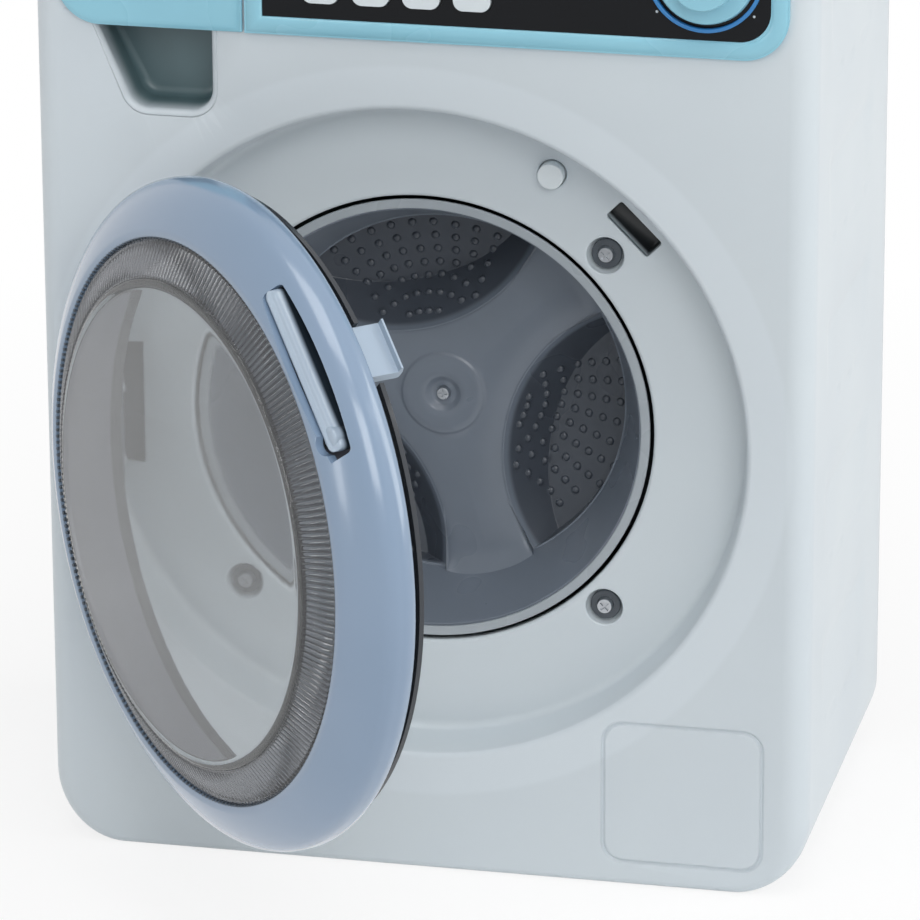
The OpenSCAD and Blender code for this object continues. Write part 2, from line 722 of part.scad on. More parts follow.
module option_button(i) color("#d9e4e8") upright() translate([option_x[i], option_y, 0]) {
  rounded_block(option_w, option_h, option_h / 2 - 0.1, flange_z - flange_t, proud + 0.8);
  block(option_w + 1.6, option_h + 1.6, flange_z - flange_t, flange_z);
}
module option_button_1() option_button(0);
module option_button_2() option_button(1);
module option_button_3() option_button(2);
module option_button_4() option_button(3);

module button_pad() color("#b8b0a0") upright() {
  pad_top = flange_z - flange_t - button_travel - 0.2;
  translate([start_x, panel_cy, 0]) bar(start_r - 1, board_z, pad_top);
  for (x = option_x) translate([x, option_y, 0]) block(option_w - 2, option_h - 1, board_z, pad_top);
}

module circuit_board() color("#2f6b46") upright() at_panel() difference() {
  block(bezel_len - 2 * board_edge, panel_h - 2 * board_edge, board_z - board_t, board_z);
  for (sx = [-1, 1], sy = [-1, 1]) translate([sx * board_screw_x, sy * board_screw_y, 0])
    bar(screw_r + 0.2, board_z - board_t - over, board_z + over);
}

module board_screws() color("#b9bec4") upright() at_panel()
  for (sx = [-1, 1], sy = [-1, 1]) translate([sx * board_screw_x, sy * board_screw_y, board_z - board_t])
    rotate([180, 0, 0]) screw(board_t + 4);

module display_module() color("#1d2a30") upright() translate([display_x, display_y, 0])
  block(display_w, display_h, board_z, tray_z);

module speaker() color("#3c4146") upright() translate([0, vent_y, 0]) {
  bar(speaker_r, cover_top_z, cover_top_z + 3);
  bar(speaker_r * 0.55, cover_top_z + 2.9, cover_top_z + 9);
}

// ---------- Drawer ----------

module at_drawer() translate([drawer_cx, panel_cy + 1, 0]) children();

module drawer_front() color("#8fc9d8") upright() {
  translate([front_cx, panel_cy, 0.15]) linear_extrude(proud - 0.15) one_end_round(front_len, panel_h, panel_corner, -1);
  at_drawer() block(drawer_open_w - 2 * gap - 1, drawer_open_h - 2 * gap - 1, -3, 0.2);
}

module drawer_tray() color("#dfe6ea") upright() at_drawer() difference() {
  w = drawer_open_w - 2 * gap - 1;
  h = drawer_open_h - 2 * gap - 1;
  block(w, h, -3 - tray_depth, -3);
  translate([0, over, 0])
    block(w - 2 * tray_wall, h - 2 * tray_wall + 2 * over, -3 - tray_depth + tray_wall, -3 - tray_wall);
}

module drawer_guide() color("#aeb7bd") upright() at_drawer() difference() {
  block(drawer_open_w + 2 * guide_t, drawer_open_h + 2 * guide_t, -3 - tray_depth - 2, -wall);
  block(drawer_open_w, drawer_open_h, -3 - tray_depth - 3, over);
}

// ---------- Door sensor ----------

module at_sensor() at_dish() polar(sensor_at, sensor_angle) children();

module sensor_button() color("#dfe5e8") upright() at_sensor() {
  bar(sensor_r, floor_back_z - 4, -dish_depth + sensor_proud);
  bar(sensor_r + 1.2, floor_back_z - 1.6, floor_back_z - 0.2);
}

module sensor_spring() color("#b9bec4") upright() at_sensor() difference() {
  bar(sensor_r + 1, floor_back_z - 7.6, floor_back_z - 1.6);
  bar(sensor_r + 0.3, floor_back_z - 9, floor_back_z);
}

module sensor_switch() color("#2b2f33") upright() at_sensor()
  block(12, 10, floor_back_z - 13, floor_back_z - 7.6);

// ---------- Hinge ----------

module at_hinge() translate([hinge_x, dish_y, hinge_z]) children();

module hinge_bracket() color("#4a5560") upright() difference() {
  union() {
    for (sy = [-1, 1]) translate([0, sy * (ear_y + ear_t / 2), 0]) at_hinge() along_y(ear_t) {
      circle(knuckle_r);
      translate([-knuckle_r, spine_z - hinge_z - 0.2]) square([5.6, hinge_z - spine_z + 0.2]);
    }
    translate([0, dish_y, 0]) translate([hinge_x - knuckle_r, -ear_y - ear_t - 8, spine_z - spine_t])
      cube([-(hinge_x - knuckle_r) + bracket_screw_x + 4, 2 * (ear_y + ear_t + 8), spine_t]);
  }
  at_hinge() rotate([90, 0, 0]) cylinder(h = 2 * (ear_y + ear_t + over), r = pin_r, center = true);
  for (sy = [-1, 1]) translate([bracket_screw_x, dish_y + sy * bracket_screw_y, 0])
    bar(screw_r + 0.2, spine_z - spine_t - over, spine_z + over);
}

module bracket_screws() color("#b9bec4") upright() for (sy = [-1, 1])
  translate([bracket_screw_x, dish_y + sy * bracket_screw_y, spine_z - spine_t]) rotate([180, 0, 0]) screw(6);

module hinge_pin() color("#b9bec4") upright() at_hinge() rotate([90, 0, 0])
  cylinder(h = 2 * (ear_y + ear_t), r = pin_r, center = true);

// Goose-neck arm that carries the door round the rim of the dish.
module hinge_arm() color("#4a5560") upright() on_door() at_hinge() difference() {
  foot_z = lip_z - hinge_z;
  union() {
    along_y(arm_h) circle(knuckle_r);
    along_y(arm_h) thick_path(arm_path, arm_t);
    along_y(arm_h) translate([foot_x[0], foot_z - foot_t]) square([foot_x[1] - foot_x[0], foot_t]);
  }
  rotate([90, 0, 0]) cylinder(h = arm_h + 2, r = pin_r + run_fit, center = true);
  for (sy = [-1, 1]) translate([foot_x[1] - 3, sy * arm_screw_y, 0]) bar(screw_r + 0.2, foot_z - 3, foot_z + over);
}

module arm_screws() color("#b9bec4") upright() on_door() at_hinge() for (sy = [-1, 1])
  translate([foot_x[1] - 3, sy * arm_screw_y, lip_z - hinge_z - foot_t]) rotate([180, 0, 0]) screw(6, screw_r, 1.9);

// ---------- Door ----------

// Outline of the door ring, radius against depth, grown inwards by off.
function ring_arc_x(r) = ring_r - r;
function ring_outline(off) = concat(
  [[window_r, window_z - off]],
  arc(ring_arc_x(front_arc_r), front_arc_z, front_arc_r - off, 63, 0, 7),
  arc(ring_arc_x(rear_arc_r), rear_arc_z, rear_arc_r - off, 0, -78, 6));

// The latch's own place seen from the door's centre.
module at_latch_door() translate([-door_x, -door_y, 0]) at_latch() children();

// Crescent slot in the ring: straight inside, round outside.
module handle_slot_cut() translate([0, 0, ring_rear_z]) linear_extrude(window_z - ring_rear_z + over)
  intersection() {
    circle(handle_out_r);
    at_latch_door() {
      translate([lever_x - lever_w / 2 - gap, -lever_len / 2 - 1]) square([12, lever_len + 2]);
      translate(grip_foot) circle(grip_foot_r + gap);
    }
  }

module door_ring() color("#9fb0c2") upright() on_door() at_door() difference() {
  union() {
    rotate_extrude($fn = 180) polygon(concat(ring_outline(0), flip(ring_outline(ring_t))));
    for (a = door_screw_angles) polar(door_boss_at, a) bar(door_boss_r, -4, 6.2);
    for (s = [-1, 1]) at_latch_door() translate([latch_pivot_x, s * (lever_len / 2 + 4), 0])
      block(4.4, 3, latch_pivot_z - 2.4, 3.4);
  }
  handle_slot_cut();
  for (a = door_screw_angles) polar(door_boss_at, a) bar(screw_r, -5, 3);
  at_latch_door() translate([latch_pivot_x, 0, latch_pivot_z]) rotate([90, 0, 0])
    cylinder(h = lever_len + 12, r = latch_pin_r, center = true);
}

// Window: a bowl flange behind the ring, a ribbed skirt and a domed pane.
module door_window() color([0.6, 0.62, 0.64, 0.55]) upright() on_door() at_door()
  rotate_extrude($fn = 180) polygon(concat(
    [[0, window_z + skirt_rise + 1.6], [skirt_r * 0.5, window_z + skirt_rise + 1.2], [skirt_r, window_z + skirt_rise],
     [window_r - 0.4, window_z - 1.4], [window_r - 0.4, seat_z + 1.2], [window_r + 1.2, seat_z + 1.2]],
    [[window_r + 1.2, seat_z], [window_r - 0.4 - window_t, seat_z],
     [window_r - 0.4 - window_t, window_z - 1.4 - window_t * 0.4], [skirt_r, window_z + skirt_rise - window_t],
     [skirt_r * 0.5, window_z + skirt_rise + 1.2 - window_t], [0, window_z + skirt_rise + 1.6 - window_t]]));

module door_rear_frame() color("#5a5f68") upright() on_door() at_door() difference() {
  union() {
    difference() {
      union() {
        bar(lip_r, lip_z, lip_z + lip_t);
        bar(lip_r - 2.3, lip_z + 0.2, ring_rear_z + 0.6);
        bar(rear_open_r + frame_wall, lip_z, seat_z - 0.1);
      }
      bar(rear_open_r, lip_z - over, seat_z + over);
    }
    for (a = door_screw_angles) polar(door_boss_at, a) bar(door_boss_r, lip_z + 0.4, -4);
  }
  for (a = door_screw_angles) polar(door_boss_at, a) {
    bar(screw_r + 0.2, lip_z - over, 0);
    bar(head_r + 0.3, lip_z - over, lip_z + head_h + 0.2);
  }
  polar(slot_at, slot_angle) block(8.4, tab_len + 3, lip_z - over, over);
  at_arm_holes();
}

// Pilot holes for the two arm screws, in the door's own place.
module at_arm_holes() translate([-door_x, -door_y, 0]) at_hinge() for (sy = [-1, 1])
  translate([foot_x[1] - 3, sy * arm_screw_y, lip_z - hinge_z - over]) bar(screw_r, 0, 4.6);

module door_screws() color("#b9bec4") upright() on_door() at_door() for (a = door_screw_angles)
  polar(door_boss_at, a) translate([0, 0, lip_z + head_h + 0.2]) rotate([180, 0, 0]) screw(9);

// ---------- Latch ----------

module at_latch() at_dish() polar(slot_at, slot_angle) children();

// Rocking lever: a grip in the ring's slot and a tab that hooks behind the dish floor.
module latch_lever() color("#a9bccb") upright() on_door() at_latch() difference() {
  union() {
    translate([lever_x, 0, 0]) rounded_block(lever_w, lever_len, 2, 1, 8.6);
    translate(grip_foot) bar(grip_foot_r, 1, 8.2);
    block(tab_t, tab_len, latch_end_z, 1.1);
    tab_barb();
    translate([latch_pivot_x, 0, latch_pivot_z]) rotate([90, 0, 0])
      cylinder(h = lever_len - 6, r = 2.3, center = true);
    translate([latch_pivot_x, 0, 0]) block(2.6, lever_len - 8, latch_pivot_z, 1.1);
  }
  translate([latch_pivot_x, 0, latch_pivot_z]) rotate([90, 0, 0])
    cylinder(h = lever_len + 4, r = latch_pin_r + run_fit, center = true);
}

// The barb at the end of the tab, an outline of x against z.
module tab_barb() along_y(tab_len - 2) polygon([
  [tab_t / 2 - 0.1, latch_end_z + barb_h], [tab_t / 2 + barb, latch_end_z + barb_h],
  [tab_t / 2 + barb, latch_end_z + barb_h * 0.5], [tab_t / 2 - 0.1, latch_end_z]]);

module latch_pin() color("#b9bec4") upright() on_door() at_latch() translate([latch_pivot_x, 0, latch_pivot_z])
  rotate([90, 0, 0]) cylinder(h = lever_len + 11, r = latch_pin_r, center = true);

module latch_spring() color("#c8ccd0") upright() on_door() at_latch() translate([latch_pivot_x, 0, latch_pivot_z])
  rotate([90, 0, 0]) translate([0, 0, lever_len / 2 - 2.6]) difference() {
    cylinder(h = 4, r = 2.1);
    translate([0, 0, -over]) cylinder(h = 6, r = 1.3);
  }

// ---------- Battery box ----------

module at_box() translate([0, cells_y, 0]) children();

module at_box_screw() translate([0, box_h / 2 - box_wall - post_room / 2 + 0.6, 0]) children();

module battery_box() color("#c4cdd4") upright() at_box() difference() {
  union() {
    difference() {
      union() {
        block(box_w, box_h, box_back_z, box_back_z + box_depth + box_wall);
        block(box_w + 8, box_h + 8, cover_top_z, cover_top_z + 1.6);
      }
      block(box_w - 2 * box_wall, box_h - 2 * box_wall, box_back_z - over, box_back_z + box_depth);
      block(box_w - box_wall, box_h - box_wall, box_back_z - over, box_back_z + cover_plate_t + 0.1);
    }
    translate([0, cell_shift + cell_len / 2 + 3.5 + 0.6, 0])
      block(box_w - box_wall, 1.2, box_back_z + cover_plate_t + 0.2, box_back_z + box_depth + 0.1);
    at_box_screw() block(6, post_room - 2.4, box_back_z + cover_plate_t + 0.1, box_back_z + box_depth + 0.1);
  }
  at_box_screw() bar(screw_r, box_back_z, box_back_z + 8);
}

module cells() color("#c58b3a") upright() at_box() for (i = [-1:1])
  translate([i * cell_pitch, cell_shift - cell_len / 2, box_back_z + box_depth - cell_d / 2 - gap]) rotate([-90, 0, 0])
    cylinder(h = cell_len, r = cell_d / 2);

module cell_contacts() color("#b9bec4") upright() at_box() for (i = [-1:1], s = [-1, 1])
  translate([i * cell_pitch, cell_shift + s * (cell_len / 2 + 2), box_back_z + box_depth - cell_d / 2 - gap])
    rotate([90, 0, 0]) cylinder(h = 3, r = 3.4, center = true);

module battery_cover() color("#c4cdd4") upright() at_box() difference() {
  block(box_w - box_wall - 2 * gap, box_h - box_wall - 2 * gap, box_back_z, box_back_z + cover_plate_t);
  at_box_screw() bar(screw_r + 0.2, box_back_z - over, box_back_z + 3);
}

module battery_screw() color("#b9bec4") upright() at_box() at_box_screw()
  translate([0, 0, box_back_z]) rotate([180, 0, 0]) screw(8);

// ---------- Output ----------

front_shell();
rear_cover();
cover_screws();
tub();
screw_cups();
front_screws();
drum();
drum_rim();
drum_screw();
drum_shaft();
shaft_bush();
drum_gear();
gear_screw();
idler_gear();
idler_pin();
motor();
motor_shaft();
motor_pinion();
gearbox_plate();
gearbox_screws();
panel_bezel();
panel_lens();
programme_knob();
knob_ring();
selector_switch();
selector_shaft();
start_button();
option_button_1();
option_button_2();
option_button_3();
option_button_4();
button_pad();
circuit_board();
board_screws();
display_module();
speaker();
drawer_front();
drawer_tray();
drawer_guide();
sensor_button();
sensor_spring();
sensor_switch();
hinge_bracket();
bracket_screws();
hinge_pin();
hinge_arm();
arm_screws();
door_ring();
door_window();
door_rear_frame();
door_screws();
latch_lever();
latch_pin();
latch_spring();
battery_box();
cells();
cell_contacts();
battery_cover();
battery_screw();
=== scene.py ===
import json
import math
import bmesh
import bpy
import numpy as np
from mathutils import Matrix, Vector
from mathutils.geometry import delaunay_2d_cdt

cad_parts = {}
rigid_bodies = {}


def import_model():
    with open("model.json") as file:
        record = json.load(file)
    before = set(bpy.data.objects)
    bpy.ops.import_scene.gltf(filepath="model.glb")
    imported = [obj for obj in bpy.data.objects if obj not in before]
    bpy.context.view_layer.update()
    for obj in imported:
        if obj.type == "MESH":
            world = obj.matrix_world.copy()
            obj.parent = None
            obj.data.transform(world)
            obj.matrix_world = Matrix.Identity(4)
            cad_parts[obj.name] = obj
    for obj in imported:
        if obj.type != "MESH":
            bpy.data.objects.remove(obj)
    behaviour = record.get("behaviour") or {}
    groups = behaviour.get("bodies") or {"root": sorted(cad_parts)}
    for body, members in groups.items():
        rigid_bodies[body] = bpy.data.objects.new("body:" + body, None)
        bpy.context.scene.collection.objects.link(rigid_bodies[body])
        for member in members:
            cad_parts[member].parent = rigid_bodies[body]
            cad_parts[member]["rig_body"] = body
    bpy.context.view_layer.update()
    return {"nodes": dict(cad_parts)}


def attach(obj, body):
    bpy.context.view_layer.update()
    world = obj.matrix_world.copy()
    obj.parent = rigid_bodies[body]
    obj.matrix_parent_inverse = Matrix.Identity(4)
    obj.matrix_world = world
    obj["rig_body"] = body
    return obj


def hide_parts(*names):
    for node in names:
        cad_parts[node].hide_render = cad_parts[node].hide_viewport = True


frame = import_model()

# A toy front-loading washing machine. Sizes are millimetres in the face frame of the solids: x to the right,
# y up, z out of the cabinet's front face. stand() sets a point upright in the row frame, in metres.
nodes = frame["nodes"]

# The cabinet, its corners and the radius of its front edge, which is smaller along the bottom
WIDTH, HEIGHT, DEPTH, CORNER, EDGE, FOOT_EDGE = 210.0, 288.0, 120.0, 20.0, 7.0, 2.2
# The dish round the mouth; its screws, button and slot lie at a radius and an angle
DISH = (-2.6, 124.2)
DISH_R, DISH_DEPTH, DISH_DRAFT, MOUTH_R = 90.4, 13.8, 2.5, 62.8
SCREW_RING, SCREW_ANGLES = 70.0, (45, 135, 225, 315)
SENSOR_AT, SENSOR_ANGLE = 79.4, 63.7
SLOT_AT, SLOT_ANGLE = 80.9, 45
HALO_R, HALO_FADE = 101.2, 2.0
# The door's middle, its hinge (across, depth) and how far it stands open
DOOR = (-2.0, 123.4)
HINGE = (-99.4, -5.6)
OPEN = math.radians(46.3)
# The panel and the drawer front share a height and carry one outline
PANEL_H, PANEL_MID, PANEL_CORNER = 45.0, 255.9, 12.0
BEZEL_X, BEZEL_LEN = 25.675, 144.65
DRAWER_X, DRAWER_LEN = -72.675, 50.65
KNOB = (76.0, 255.9)
KNOB_MARKS_R = 16.6
SHELL_WALL = 1.5
# The drum: its star's lowest front and its back, and the floor of its pockets, deeper towards the hub
STAR_Z, STAR_BACK = -39.0, -39.9
POCKET_FLOOR, POCKET_SLOPE, DRUM_R = -43.74, 0.2187, 59.0


def stand(p):
    return (p[0] / 1000, -(p[2] + 60) / 1000, p[1] / 1000)


def swing(p):
    """A point of the closed door, centred on the door, at its opening angle."""
    x, z = p[0] + DOOR[0] - HINGE[0], p[2] - HINGE[1]
    c, s = math.cos(OPEN), math.sin(OPEN)
    return stand((HINGE[0] + x * c - z * s, p[1] + DOOR[1], HINGE[1] + x * s + z * c))


def at_dish(p):
    """A point that is centred on the dish."""
    return stand((p[0] + DISH[0], p[1] + DISH[1], p[2]))


def at_lever(p):
    """A point of the latch lever: p is across its grip, depth, and along it."""
    x, y = turned_by([(p[0], p[2])], SLOT_AT, SLOT_ANGLE)[0]
    return swing((x + DISH[0] - DOOR[0], y + DISH[1] - DOOR[1], p[1]))


# ---------- Outlines ----------

def arc(cx, cy, r, a0, a1, n):
    """n + 1 points on an arc, from one angle to another in degrees."""
    return [(cx + r * math.cos(math.radians(a0 + (a1 - a0) * i / n)),
             cy + r * math.sin(math.radians(a0 + (a1 - a0) * i / n))) for i in range(n + 1)]


def ring(cx, cy, r, n):
    return arc(cx, cy, r, 0, 360, n)[:-1]


def soften(points, radius, n=4):
    """The corners of a closed outline, each rounded by its own radius."""
    out = []
    count = len(points)
    for i, p in enumerate(points):
        if radius[i] <= 0:
            out.append(p)
            continue
        p, a, b = Vector(p), Vector(points[i - 1]), Vector(points[(i + 1) % count])
        da, db = a - p, b - p
        angle = da.angle(db)
        cut = min(radius[i] / math.tan(angle / 2), 0.48 * da.length, 0.48 * db.length)
        start, end = p + da.normalized() * cut, p + db.normalized() * cut
        for k in range(n + 1):
            t = k / n
            out.append(tuple(start * (1 - t) ** 2 + p * 2 * t * (1 - t) + end * t ** 2))
    return out


def soft_box(cx, cy, w, h, r, n=8):
    return (arc(cx + w / 2 - r, cy - h / 2 + r, r, 270, 360, n) + arc(cx + w / 2 - r, cy + h / 2 - r, r, 0, 90, n)
            + arc(cx - w / 2 + r, cy + h / 2 - r, r, 90, 180, n) + arc(cx - w / 2 + r, cy - h / 2 + r, r, 180, 270, n))


def half_box(cx, cy, w, h, r, side, n=10):
    """A rectangle that is rounded at its left (-1) or right (1) end only."""
    x0, x1, y0, y1 = cx - w / 2, cx + w / 2, cy - h / 2, cy + h / 2
    if side > 0:
        return arc(x1 - r, y0 + r, r, 270, 360, n) + arc(x1 - r, y1 - r, r, 0, 90, n) + [(x0, y1), (x0, y0)]
    return [(x1, y0), (x1, y1)] + arc(x0 + r, y1 - r, r, 90, 180, n) + arc(x0 + r, y0 + r, r, 180, 270, n)


def turned_by(points, at, angle):
    """Outline points moved out by a radius and turned round the middle."""
    c, s = math.cos(math.radians(angle)), math.sin(math.radians(angle))
    return [((x + at) * c - y * s, (x + at) * s + y * c) for x, y in points]


def smooth_line(points, n=4):
    """A smooth curve through the points."""
    p = [Vector(q) for q in points]
    p = [2 * p[0] - p[1]] + p + [2 * p[-1] - p[-2]]
    out = []
    for i in range(1, len(p) - 2):
        for k in range(n):
            t = k / n
            out.append(0.5 * (2 * p[i] + (p[i + 1] - p[i - 1]) * t
                              + (2 * p[i - 1] - 5 * p[i] + 4 * p[i + 1] - p[i + 2]) * t * t
                              + (3 * p[i] - p[i - 1] - 3 * p[i + 1] + p[i + 2]) * t ** 3))
    return [tuple(q) for q in out] + [tuple(p[-2])]


def inside(points, loop):
    """Which points lie inside a closed outline."""
    p, q = np.array(loop), np.roll(np.array(loop), -1, axis=0)
    hit = np.zeros(len(points), bool)
    for (x0, y0), (x1, y1) in zip(p, q):
        if y0 == y1:
            continue
        cross = ((y0 > points[:, 1]) != (y1 > points[:, 1])) & (
            points[:, 0] < (x1 - x0) * (points[:, 1] - y0) / (y1 - y0) + x0)
        hit ^= cross
    return hit


# ---------- Surfaces ----------

class Surface:
    """Loops and plates that are joined into one mesh, in millimetres."""

    def __init__(self):
        self.points, self.faces = [], []

    def loop(self, points):
        start = len(self.points)
        self.points += [tuple(p) for p in points]
        return list(range(start, start + len(points)))

    def skin(self, loops, closed=True, keep=None):
        """Quads between the loops. keep(row, column) says which of them are made."""
        rows = [self.loop(points) for points in loops]
        for r in range(len(rows) - 1):
            a, b = rows[r], rows[r + 1]
            for i in range(len(a) if closed else len(a) - 1):
                j = (i + 1) % len(a)
                if keep is None or keep(r, i):
                    self.faces.append((a[i], a[j], b[j], b[i]))

    def plate(self, loops, z):
        """A flat plate between outlines: what lies inside an odd number of them."""
        flat = [p for loop in loops for p in loop]
        edges, start = [], 0
        for loop in loops:
            edges += [(start + i, start + (i + 1) % len(loop)) for i in range(len(loop))]
            start += len(loop)
        points, _, faces, _, _, _ = delaunay_2d_cdt([Vector(p) for p in flat], edges, [], 0, 1e-6)
        middle = np.array([[sum(points[i][0] for i in f) / 3, sum(points[i][1] for i in f) / 3] for f in faces])
        odd = np.zeros(len(faces), int)
        for loop in loops:
            odd += inside(middle, loop)
        index = self.loop([(p[0], p[1], z) for p in points])
        self.faces += [tuple(index[i] for i in f) for f, o in zip(faces, odd) if o % 2]

    def make(self, name, place=stand, up=None):
        """The mesh object. up is a direction that the first plate must face."""
        mesh = bpy.data.meshes.new(name)
        mesh.from_pydata([place(p) for p in self.points], [], self.faces)
        bm = bmesh.new()
        bm.from_mesh(mesh)
        bmesh.ops.remove_doubles(bm, verts=bm.verts, dist=2e-6)
        bmesh.ops.dissolve_degenerate(bm, edges=bm.edges, dist=1e-7)
        bmesh.ops.recalc_face_normals(bm, faces=bm.faces)
        bm.normal_update()
        if up is not None:
            biggest = max(bm.faces, key=lambda f: f.calc_area() * abs(f.normal.dot(Vector(up))))
            if biggest.normal.dot(Vector(up)) < 0:
                bmesh.ops.reverse_faces(bm, faces=bm.faces)
        for f in bm.faces:
            f.smooth = True
        bm.to_mesh(mesh)
        bm.free()
        obj = bpy.data.objects.new(name, mesh)
        bpy.context.scene.collection.objects.link(obj)
        return obj


def turn(name, profile, steps, place, shape=None, closed=True):
    """A profile of radius against depth, turned round the middle. shape(row, angle, r, z) may move its points."""
    rows = []
    for k, (r, z) in enumerate(profile + profile[:1] if closed else profile):
        k %= len(profile)
        row = []
        for i in range(steps):
            a = 2 * math.pi * i / steps
            rr, zz = shape(k, a, r, z) if shape else (r, z)
            row.append((rr * math.cos(a), rr * math.sin(a), zz))
        rows.append(row)
    s = Surface()
    s.skin(rows)
    return s.make(name, place)


def modify(obj, *steps):
    """Adds modifiers given as (kind, settings)."""
    for kind, settings in steps:
        m = obj.modifiers.new(kind.lower(), kind)
        for key, value in settings.items():
            setattr(m, key, value)
    return obj


def plain(obj):
    """Makes what the modifiers give the object's own mesh."""
    bpy.context.view_layer.update()
    mesh = bpy.data.meshes.new_from_object(obj.evaluated_get(bpy.context.evaluated_depsgraph_get()))
    obj.modifiers.clear()
    obj.data = mesh
    return obj


def wall(obj, thickness):
    """Makes a skin a wall, with its outer face kept."""
    return plain(modify(obj, ("SOLIDIFY", dict(thickness=thickness / 1000, offset=-1)),
                        ("WEIGHTED_NORMAL", dict(weight=80))))


def edged(obj, width, angle=35, segments=2):
    """Rounds the sharp edges, as a mould's radii do."""
    return plain(modify(obj, ("BEVEL", dict(width=width / 1000, segments=segments, limit_method="ANGLE",
                                            angle_limit=math.radians(angle), use_clamp_overlap=True)),
                        ("WEIGHTED_NORMAL", dict(weight=60))))


def settle(obj, body, slot, finish, *replaced):
    """Gives a piece its finish, its body and the solids that it stands for."""
    obj.data.materials.clear()
    obj.data.materials.append(finish)
    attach(obj, body)
    if replaced:
        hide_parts(*replaced)
    return obj


def dress(node, slot, finish, width=0.3, angle=35, segments=2):
    """A copy of a solid with its facets merged and its sharp edges rounded."""
    mesh = nodes[node].data.copy()
    bm = bmesh.new()
    bm.from_mesh(mesh)
    bmesh.ops.remove_doubles(bm, verts=bm.verts, dist=2e-6)
    bmesh.ops.dissolve_degenerate(bm, edges=bm.edges, dist=1e-6)
    bmesh.ops.dissolve_limit(bm, angle_limit=math.radians(0.6), verts=bm.verts, edges=bm.edges)
    bmesh.ops.recalc_face_normals(bm, faces=bm.faces)
    for f in bm.faces:
        f.smooth = True
    bm.to_mesh(mesh)
    bm.free()
    obj = bpy.data.objects.new(node + "_skin", mesh)
    bpy.context.scene.collection.objects.link(obj)
    edged(obj, width, angle, segments)
    return settle(obj, nodes[node]["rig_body"], slot, finish, node)


def cut(obj, cutter):
    """Takes the cutter out of the object."""
    plain(modify(obj, ("BOOLEAN", dict(object=cutter, operation="DIFFERENCE", solver="EXACT"))))
    bpy.data.objects.remove(cutter)
    return obj


# ---------- Finishes ----------

def colour(code):
    """A hex colour as linear light."""
    parts = [int(code[i:i + 2], 16) / 255 for i in (1, 3, 5)]
    return tuple(c / 12.92 if c <= 0.04045 else ((c + 0.055) / 1.055) ** 2.4 for c in parts) + (1.0,)


def add(tree, kind, settings=None, **inputs):
    """Adds a node with its settings; an input is a value or another node's socket."""
    node = tree.nodes.new(kind)
    for key, value in (settings or {}).items():
        setattr(node, key, value)
    for key, value in inputs.items():
        socket = node.inputs[int(key[1:])] if key[1:].isdigit() else node.inputs[key.replace("_", " ")]
        if isinstance(value, bpy.types.NodeSocket):
            tree.links.new(value, socket)
        else:
            socket.default_value = value
    return node


def finish(name, base, shade, cloud=45.0, grain=0.4, depth=0.02, rough=(0.3, 0.36), shader=None, mask=None):
    """A finish with slow colour drift over cloud mm, a fine surface of grain mm and its own gloss.
    mask(tree, where) may give a factor that brings in the third colour of shade."""
    material = bpy.data.materials.new(name)
    material.use_nodes = True
    tree = material.node_tree
    tree.nodes.clear()
    where = add(tree, "ShaderNodeTexCoord").outputs["Object"]
    drift = add(tree, "ShaderNodeTexNoise", Vector=where, Scale=1000 / cloud, Detail=2.0).outputs[0]
    drift = add(tree, "ShaderNodeMapRange", i0=drift, i1=0.3, i2=0.7).outputs[0]
    tint = add(tree, "ShaderNodeMix", dict(data_type="RGBA"), i0=drift, i6=colour(base), i7=colour(shade[0])).outputs[2]
    if mask:
        tint = add(tree, "ShaderNodeMix", dict(data_type="RGBA"), i0=mask(tree, where), i6=tint,
                   i7=colour(shade[1])).outputs[2]
    fine = add(tree, "ShaderNodeTexNoise", Vector=where, Scale=1000 / grain, Detail=3.0).outputs[0]
    gloss = add(tree, "ShaderNodeMapRange", i0=drift, i3=rough[0], i4=rough[1]).outputs[0]
    bump = add(tree, "ShaderNodeBump", Strength=1.0, Distance=depth / 1000, Height=fine).outputs[0]
    bsdf = add(tree, "ShaderNodeBsdfPrincipled", Base_Color=tint, Roughness=gloss, Normal=bump, **(shader or {}))
    add(tree, "ShaderNodeOutputMaterial", i0=bsdf.outputs[0])
    return material


def halo(tree, where):
    """The band round the dish: 1 out to HALO_R from the dish's middle, then fading, on the front only."""
    parts = add(tree, "ShaderNodeSeparateXYZ", i0=where)
    dx = add(tree, "ShaderNodeMath", dict(operation="SUBTRACT"), i0=parts.outputs[0], i1=DISH[0] / 1000).outputs[0]
    dz = add(tree, "ShaderNodeMath", dict(operation="SUBTRACT"), i0=parts.outputs[2], i1=DISH[1] / 1000).outputs[0]
    dx = add(tree, "ShaderNodeMath", dict(operation="POWER"), i0=dx, i1=2.0).outputs[0]
    dz = add(tree, "ShaderNodeMath", dict(operation="POWER"), i0=dz, i1=2.0).outputs[0]
    away = add(tree, "ShaderNodeMath", dict(operation="ADD"), i0=dx, i1=dz).outputs[0]
    away = add(tree, "ShaderNodeMath", dict(operation="SQRT"), i0=away).outputs[0]
    edge = add(tree, "ShaderNodeMapRange", dict(interpolation_type="SMOOTHSTEP"), i0=away, i1=HALO_R / 1000,
               i2=(HALO_R + HALO_FADE) / 1000, i3=1.0, i4=0.0).outputs[0]
    front = add(tree, "ShaderNodeMath", dict(operation="LESS_THAN"), i0=parts.outputs[1], i1=-0.0592).outputs[0]
    return add(tree, "ShaderNodeMath", dict(operation="MULTIPLY"), i0=edge, i1=front).outputs[0]


def painted_depth_shade(start, end):
    """A mask of painted shade that grows with depth behind the cabinet's front, from start to end in mm."""
    def mask(tree, where):
        depth = add(tree, "ShaderNodeSeparateXYZ", i0=where).outputs[1]
        return add(tree, "ShaderNodeMapRange", dict(interpolation_type="SMOOTHSTEP"), i0=depth,
                   i1=(start - 60) / 1000, i2=(end - 60) / 1000).outputs[0]
    return mask


